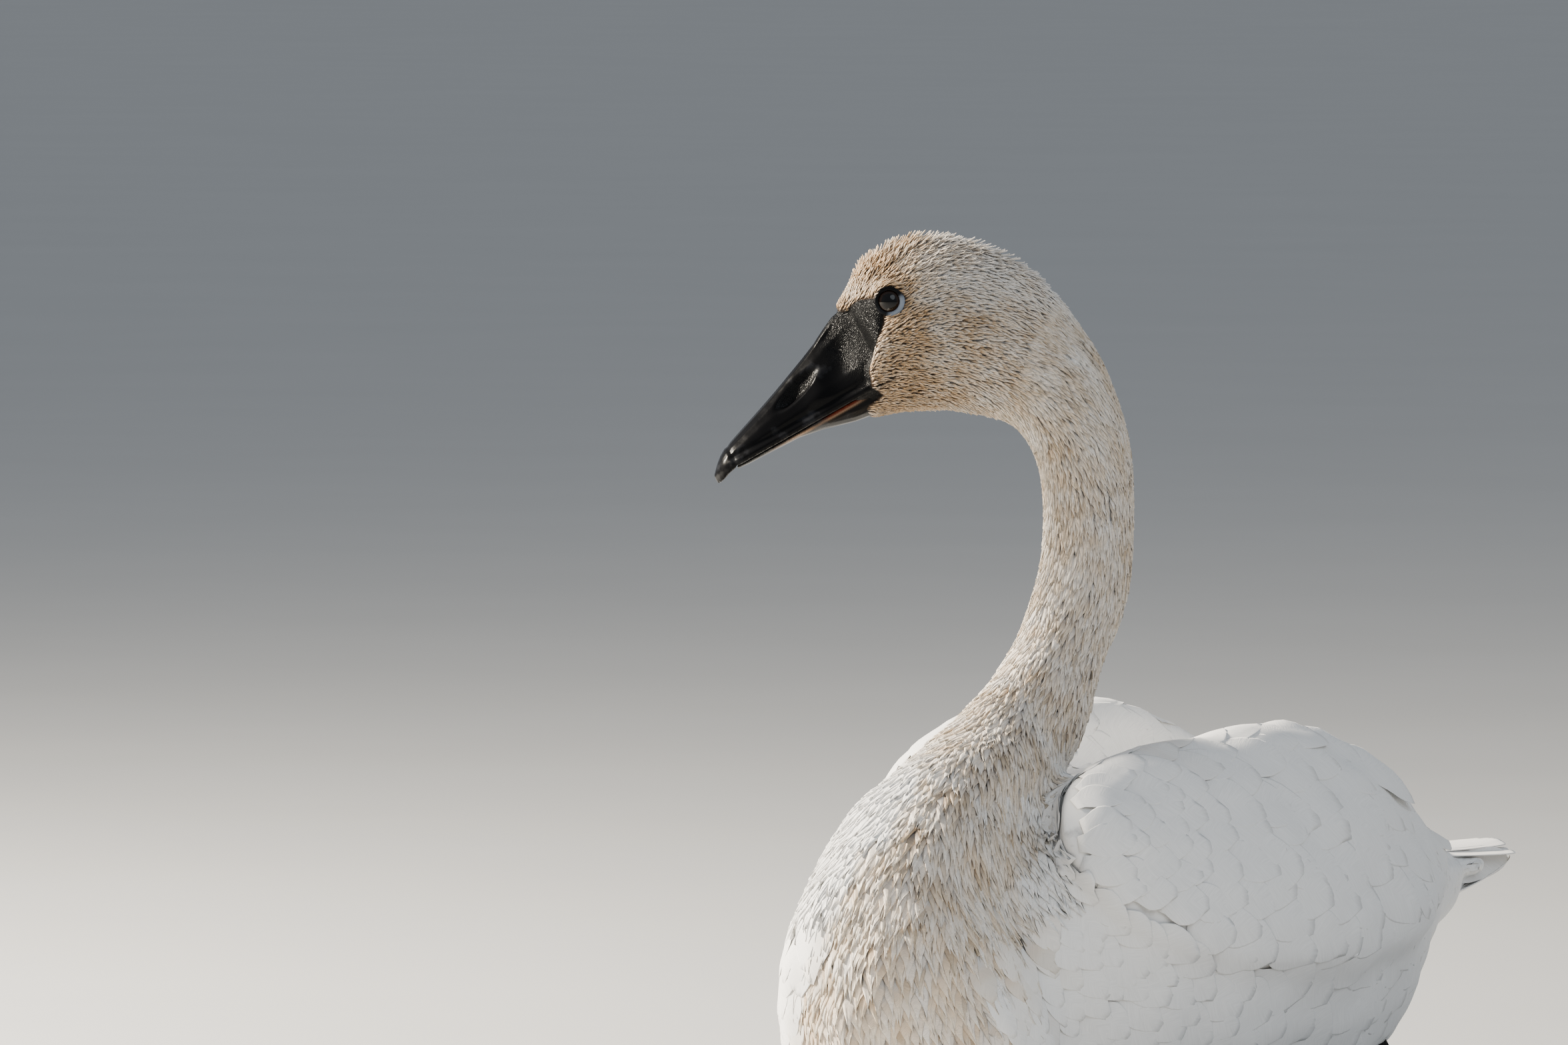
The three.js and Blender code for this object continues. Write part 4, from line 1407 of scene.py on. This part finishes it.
def claw(side, length, angle, size):
    """A short curved claw at the end of a toe: points and faces."""
    x, y = TOE_JOINT
    way = np.array((side * math.sin(angle), -math.cos(angle), 0))
    root = np.array((side * x, y, 0)) + way * (length - CLAW_LENGTH * size * 0.95)
    aside = np.cross(UP, way)
    rings, spokes = 9, 10
    points = []
    for i in range(rings):
        share = i / (rings - 1)
        radius = CLAW_RADIUS * size * (1 - share**1.6) + 0.05 * MM
        middle = root + way * CLAW_LENGTH * size * share
        middle = middle + UP * (CLAW_RADIUS * size * (1.15 - 0.9 * share**2) + 0.3 * MM)
        for k in range(spokes):
            turn = 2 * math.pi * k / spokes
            points.append(middle + (aside * math.cos(turn) * 0.8 + UP * math.sin(turn)) * radius)
    walls = tube_faces(rings, spokes, closed=False)[:, [0, 3, 2, 1]]  # turned to face outwards
    points += [root, middle]
    root_cap = [(len(points) - 2, (k + 1) % spokes, k) for k in range(spokes)]
    last = (rings - 1) * spokes
    tip_cap = [(len(points) - 1, last + k, last + (k + 1) % spokes) for k in range(spokes)]
    return np.array(points), walls, np.array(root_cap + tip_cap)


def build_claws(material):
    """The claws of both feet as one piece."""
    toes = [(*toe, 1.0) for toe in TOES] + [(*HIND_TOE, HIND_CLAW)]
    claws = [claw(side, *toe) for side in (1, -1) for toe in toes]
    points, walls = joined([(places, quads) for places, quads, _ in claws])
    _, caps = joined([(places, triangles) for places, _, triangles in claws])
    obj = make_object("claws", points, [walls, caps], material)
    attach(obj, "root")


# ---- The coat ------------------------------------------------------------------------------------------

# By distance from the bill in metres: the ends of the head and the neck, and each piece of the neck's coat
# with its seed.
HEAD_END = 0.105
NECK_END = 0.44
NECK_PIECES = (
    ("coat_neck_upper", 0.10, 0.18, 12),
    ("coat_neck_middle", 0.18, 0.28, 13),
    ("coat_neck_lower", 0.28, NECK_END, 14),
)
WING_LAST_ROOT = 262 * MM  # feathers rooted in front of this cover the upper side of the wing's end
WING_BARE_END = 284 * MM  # and those rooted in front of this its other sides
TAIL_TOP_START = 346 * MM  # the same for the tail's upper side
TAIL_UNDER_START = 376 * MM  # and for the tail's underside


class Coat:
    """The faces that carry feathers, and the making of each coat piece on them."""

    def __init__(self, skin):
        self.skin = skin
        self.place = skin.outer[skin.quads].mean(1)
        self.reach = skin.reach[skin.quads].mean(1)
        at_eye = beside_eye(self.place, EYE_OPENING + 2.3 * MM)
        in_mouth = (skin.node >= len(COATED)) & (self.place[:, 2] > HEAD_LEVEL)
        self.coated = (bareness(self.place) < 0.5) & (parting(self.place) < 0.6) & ~at_eye & ~in_mouth
        self.stained = feather_material(
            "stained_feather", barb_size=0.5, barb_bump=0.10 * MM, streak=0.30, gloss=0.12
        )
        self.white = feather_material(
            "white_feather", barb_size=1.0, barb_bump=0.14 * MM, streak=0.09, gloss=0.0
        )

    def piece(self, name, style, wanted, seed, body, stained=True):
        """One coat piece of tufts scattered over the wanted faces."""
        rng = np.random.default_rng(seed)
        spacing = style["spacing"](self.place, self.reach)
        roots = scatter(self.skin, wanted & self.coated, spacing, seed)
        tufts = Tufts()
        tufts.add(*lay_tufts(self.skin, roots, style, rng, body))
        self.close(tufts, name, stained)

    def close(self, tufts, name, stained):
        """The finished piece, in its material."""
        if stained:
            tufts.finish(name, self.stained, "stained_plumage")
        else:
            tufts.finish(name, self.white, "plumage")


def build_coat(skin):
    """Every coat piece, from the face to the tail."""
    coat = Coat(skin)
    reach = coat.reach
    x, y, z = coat.place.T
    left = x > 0
    on_neck = ~skin.on_wing
    on_breast = on_neck & (reach >= NECK_END - 10 * MM) & (in_column(coat.place) > 0)
    outwards = skin.normals[skin.quads[:, 0], 0] * np.sign(x)
    upper_side = (outwards > -0.3) & (skin.normals[skin.quads[:, 0], 2] > -0.3)
    on_end = skin.on_wing & ((y > WING_LAST_ROOT) & upper_side | (y > WING_BARE_END))
    on_long = skin.on_wing & (y > 0.0) & (outwards > 0.1) & ~on_end
    on_tail = y > np.where(z > 0.12, TAIL_TOP_START, TAIL_UNDER_START)
    on_body = ((reach >= NECK_END) | skin.on_wing) & ~on_breast & ~on_long & ~on_tail & ~on_end
    coat.piece("coat_head", HEAD_STYLE, reach < HEAD_END, 11, body=False)
    for name, start, end, seed in NECK_PIECES:
        coat.piece(name, NECK_STYLE, on_neck & (reach >= start) & (reach < end), seed, body=False)
    coat.piece("coat_breast", BREAST_STYLE, on_breast, 15, body=True)
    two_sided = (("coat_", BODY_STYLE, on_body, 16), ("long_feathers_", LONG_STYLE, on_long, 18))
    for name, style, wanted, seed in two_sided:
        coat.piece(name + "left", style, wanted & left, seed, body=True, stained=False)
        coat.piece(name + "right", style, wanted & ~left, seed + 1, body=True, stained=False)
    build_loose_tips(coat)
    build_tail(coat)


WING_LIFT = {1: 0, -1: 10}  # in millimetres: the right wing, on the side -1, is held higher
FAN_PLACES = (1, 0.8, 0.6, 0.4, 0.2, 0)  # from the outermost feather to the middle one
UNDER_PLACES = (1, 0.55, 0.1)
VANE_ROWS = 12
VANE_THICK = 0.5 * MM
VANE_ACROSS = np.array((-1, -0.95, -0.6, -0.07, 0, 0.07, 0.6, 0.95, 1))


def fan_vane(side, outer):
    """A feather of the tail's fan, the outermost where outer is 1: as the other vanes, root, tip, half width,
    how far its middle stands above its edges, and the way it faces."""
    low = float(ramp(outer, 0.3, 0.7))  # the fan's outer half hangs clear of its middle
    root = (side * 10 * outer, 316, 126.5 - 2.5 * outer)
    tip = (side * (1.5 + 23 * outer), 425 - 21 * outer, 126 - 4.6 * low)
    return root, tip, 12.5, 1.3, UP


def under_vane(side, outer):
    """A feather of the wedge beneath the fan."""
    root = (side * (3 + 19 * outer), 326, 96 + 4 * outer)
    tip = (side * (2 + 20 * outer), 406 - 3 * outer, 119 + outer)
    return root, tip, 13 - 4 * outer, -3, UP


def tail_side_vane(side, _):
    """The feather that closes the tail's side between its fan and its wedge."""
    return (side * 20, 322, 111), (side * 25, 398, 120.5), 9, 0, unit(np.array((side * 0.9, 0, 0.45)))


def wing_end_vane(side, step):
    """A folded long feather at the wing's end: the uppermost where step is 0."""
    lift = WING_LIFT[side]
    root = (side * (49 - 5 * step), 236 - 4 * step, 149.5 + lift - 6 * step)
    tip = (side * (34 - 2.5 * step), 315 - 8 * step, 132.5 + lift - 3.5 * step)
    return root, tip, 11, 1.5, unit(np.array((side * 0.6, 0.25, 0.75)))


def wing_inner_vane(side):
    """The feather that closes the wing's end towards the back."""
    lift = WING_LIFT[side]
    root = (side * 35, 232, 149 + lift)
    return root, (side * 24.5, 313, 132.5 + lift), 9, 1.5, unit(np.array((-side * 0.75, 0.1, 0.55)))


def add_vane(tufts, vane, chance):
    """Adds the closed vane that one of the functions above describes in millimetres."""
    root, tip, half_width, arch, up = vane
    root, tip = np.array(root) * MM, np.array(tip) * MM
    share = 1 - (1 - np.linspace(0, 1, VANE_ROWS)[:, None]) ** 1.3 + 0 * VANE_ACROSS
    aside = half_width * rounded(share) * VANE_ACROSS
    grid = root + share[..., None] * (tip - root) + (aside * MM)[..., None] * unit(np.cross(up, tip - root))
    grid = grid + (arch * MM * (1 - VANE_ACROSS**2))[:, None] * up
    top = grid.reshape(1, -1, 3)
    tone = plumage_colour(0.05 + 0 * share, share, chance + 0 * share)
    barb = barb_lines(aside, share * np.linalg.norm(tip - root) / MM, chance)
    patch = bake_patches(unwrap_body(root[None]), share[None, :, :1], VANE_ACROSS)
    marks = (np.tile(v.reshape(1, -1, v.shape[-1]), (1, 2, 1)) for v in (tone, barb, patch))
    faces = sheet_faces(VANE_ROWS, len(VANE_ACROSS))
    tufts.add(np.concatenate([top, top - up * VANE_THICK], 1), faces, *marks)


def build_loose_tips(coat):
    """The few long feathers whose tips stand off the wings' ridges, and those that end the wings."""
    tufts = Tufts()
    for side in (1, -1):
        rng = np.random.default_rng(31 + side)
        tips = np.array([[side * 80, 26, 214], [side * 83, 99, 197]]) * MM
        tufts.add(*lay_tufts(coat.skin, coat.skin.drop(tips), TIP_STYLE, rng, True))
        for step in (3, 2, 1, 0):
            add_vane(tufts, wing_end_vane(side, step), rng.random())
        add_vane(tufts, wing_inner_vane(side), rng.random())
    coat.close(tufts, "loose_tips", False)


def build_tail(coat):
    """The fan of the tail, its middle feathers on top, and the feathers of the wedge under it."""
    tufts = Tufts()
    rng = np.random.default_rng(41)
    for vane, places in ((under_vane, UNDER_PLACES), (tail_side_vane, (1,)), (fan_vane, FAN_PLACES)):
        for outer in places:
            for side in (-1, 1):
                add_vane(tufts, vane(side, outer), rng.random())
    coat.close(tufts, "tail_feathers", False)


# ---- Floor, light and camera ---------------------------------------------------------------------------

AZIMUTH = math.radians(32)  # the photograph's side of the bird, from its front towards its left
ELEVATION = math.radians(3)
TO_CAMERA = np.array(
    (math.sin(AZIMUTH) * math.cos(ELEVATION), -math.cos(AZIMUTH) * math.cos(ELEVATION), math.sin(ELEVATION))
)
PICTURE_RIGHT = np.array((math.cos(AZIMUTH), math.sin(AZIMUTH), 0))
PICTURE_UP = np.cross(TO_CAMERA, PICTURE_RIGHT)
PHOTO_WIDTH = 2352  # the photograph's width in its own pixels
PIXEL = 0.3625 * MM  # the size of one of them on the bird
# The picture's middle as the camera sees it: how far to the right of the origin, above it and before it.
PICTURE_MIDDLE = (-174.725 * MM, 324.237 * MM, 4.815 * MM)
DISTANCE = 9.0  # from the picture's middle to the camera
SENSOR = 36.0
LENS = SENSOR * DISTANCE / (PHOTO_WIDTH * PIXEL)
FLOOR_RADIUS = 90.0
LIT_MIDDLE = Vector((0, 0, 0.22))  # what the lamps are turned to


def build_stage():
    """The pale floor and the soft light of the room."""
    bm = bmesh.new()
    bmesh.ops.create_circle(bm, cap_ends=True, segments=96, radius=FLOOR_RADIUS)
    floor = placed("floor", mesh_of(bm, "floor"))
    floor.data.materials.append(floor_material())
    world = bpy.data.worlds.new("studio")
    world.use_nodes = True
    background = world.node_tree.nodes["Background"]
    background.inputs["Color"].default_value = (0.84, 0.91, 1.0, 1)
    background.inputs["Strength"].default_value = 0.41
    bpy.context.scene.world = world


def face_away(obj, back):
    """Turns a lamp or camera so that it looks against back."""
    obj.rotation_mode = "QUATERNION"
    obj.rotation_quaternion = Vector(back).to_track_quat("Z", "Y")


def area_light(name, way, distance, size, power, colour):
    """A soft lamp that shines at the bird's middle from the direction way."""
    light = bpy.data.lights.new(name, "AREA")
    light.shape = "DISK"
    light.size = size
    light.energy = power
    light.color = colour
    obj = placed(name, light)
    towards = Vector(way).normalized()
    obj.location = LIT_MIDDLE + towards * distance
    face_away(obj, towards)


def build_lights():
    """A warm key lamp at the picture's left, as the sun in the photograph, and a broad cool fill."""
    key = -0.95 * PICTURE_RIGHT - 0.12 * TO_CAMERA + 0.46 * UP
    fill = 0.6 * PICTURE_RIGHT + 0.8 * TO_CAMERA + 0.7 * UP
    area_light("key", key, distance=3.2, size=0.9, power=590, colour=(1.0, 0.91, 0.77))
    area_light("fill", fill, distance=4.0, size=3.0, power=52, colour=(0.86, 0.93, 1.0))


def build_camera():
    """The photograph's framing: its angle, lens and place, with no shift."""
    camera = bpy.data.cameras.new("camera")
    camera.lens = LENS
    camera.sensor_width = SENSOR
    camera.clip_end = 300
    obj = placed("camera", camera)
    right, up, near = PICTURE_MIDDLE
    obj.location = PICTURE_RIGHT * right + PICTURE_UP * up + TO_CAMERA * (near + DISTANCE)
    face_away(obj, TO_CAMERA)
    bpy.context.scene.camera = obj


# ---- Everything, in order --------------------------------------------------------------------------

build_stage()
build_lights()
build_camera()

bill_horn = bare_material("bill_horn")
upper = build_bill("bill_upper", face_relief, upper_bill_colour, bill_horn)
lower = build_bill("bill_lower", no_relief, lower_bill_colour, bill_horn)
swan = Skin(voxel_mesh("form", COATED + FACE, SKIN_VOXEL, SEAM_SWELL), tree_of(*joined([upper, lower])))
build_skin_piece(swan)
for side, centre in EYES.items():
    build_eye(side, centre)
build_claws(claw_material())
build_coat(swan)
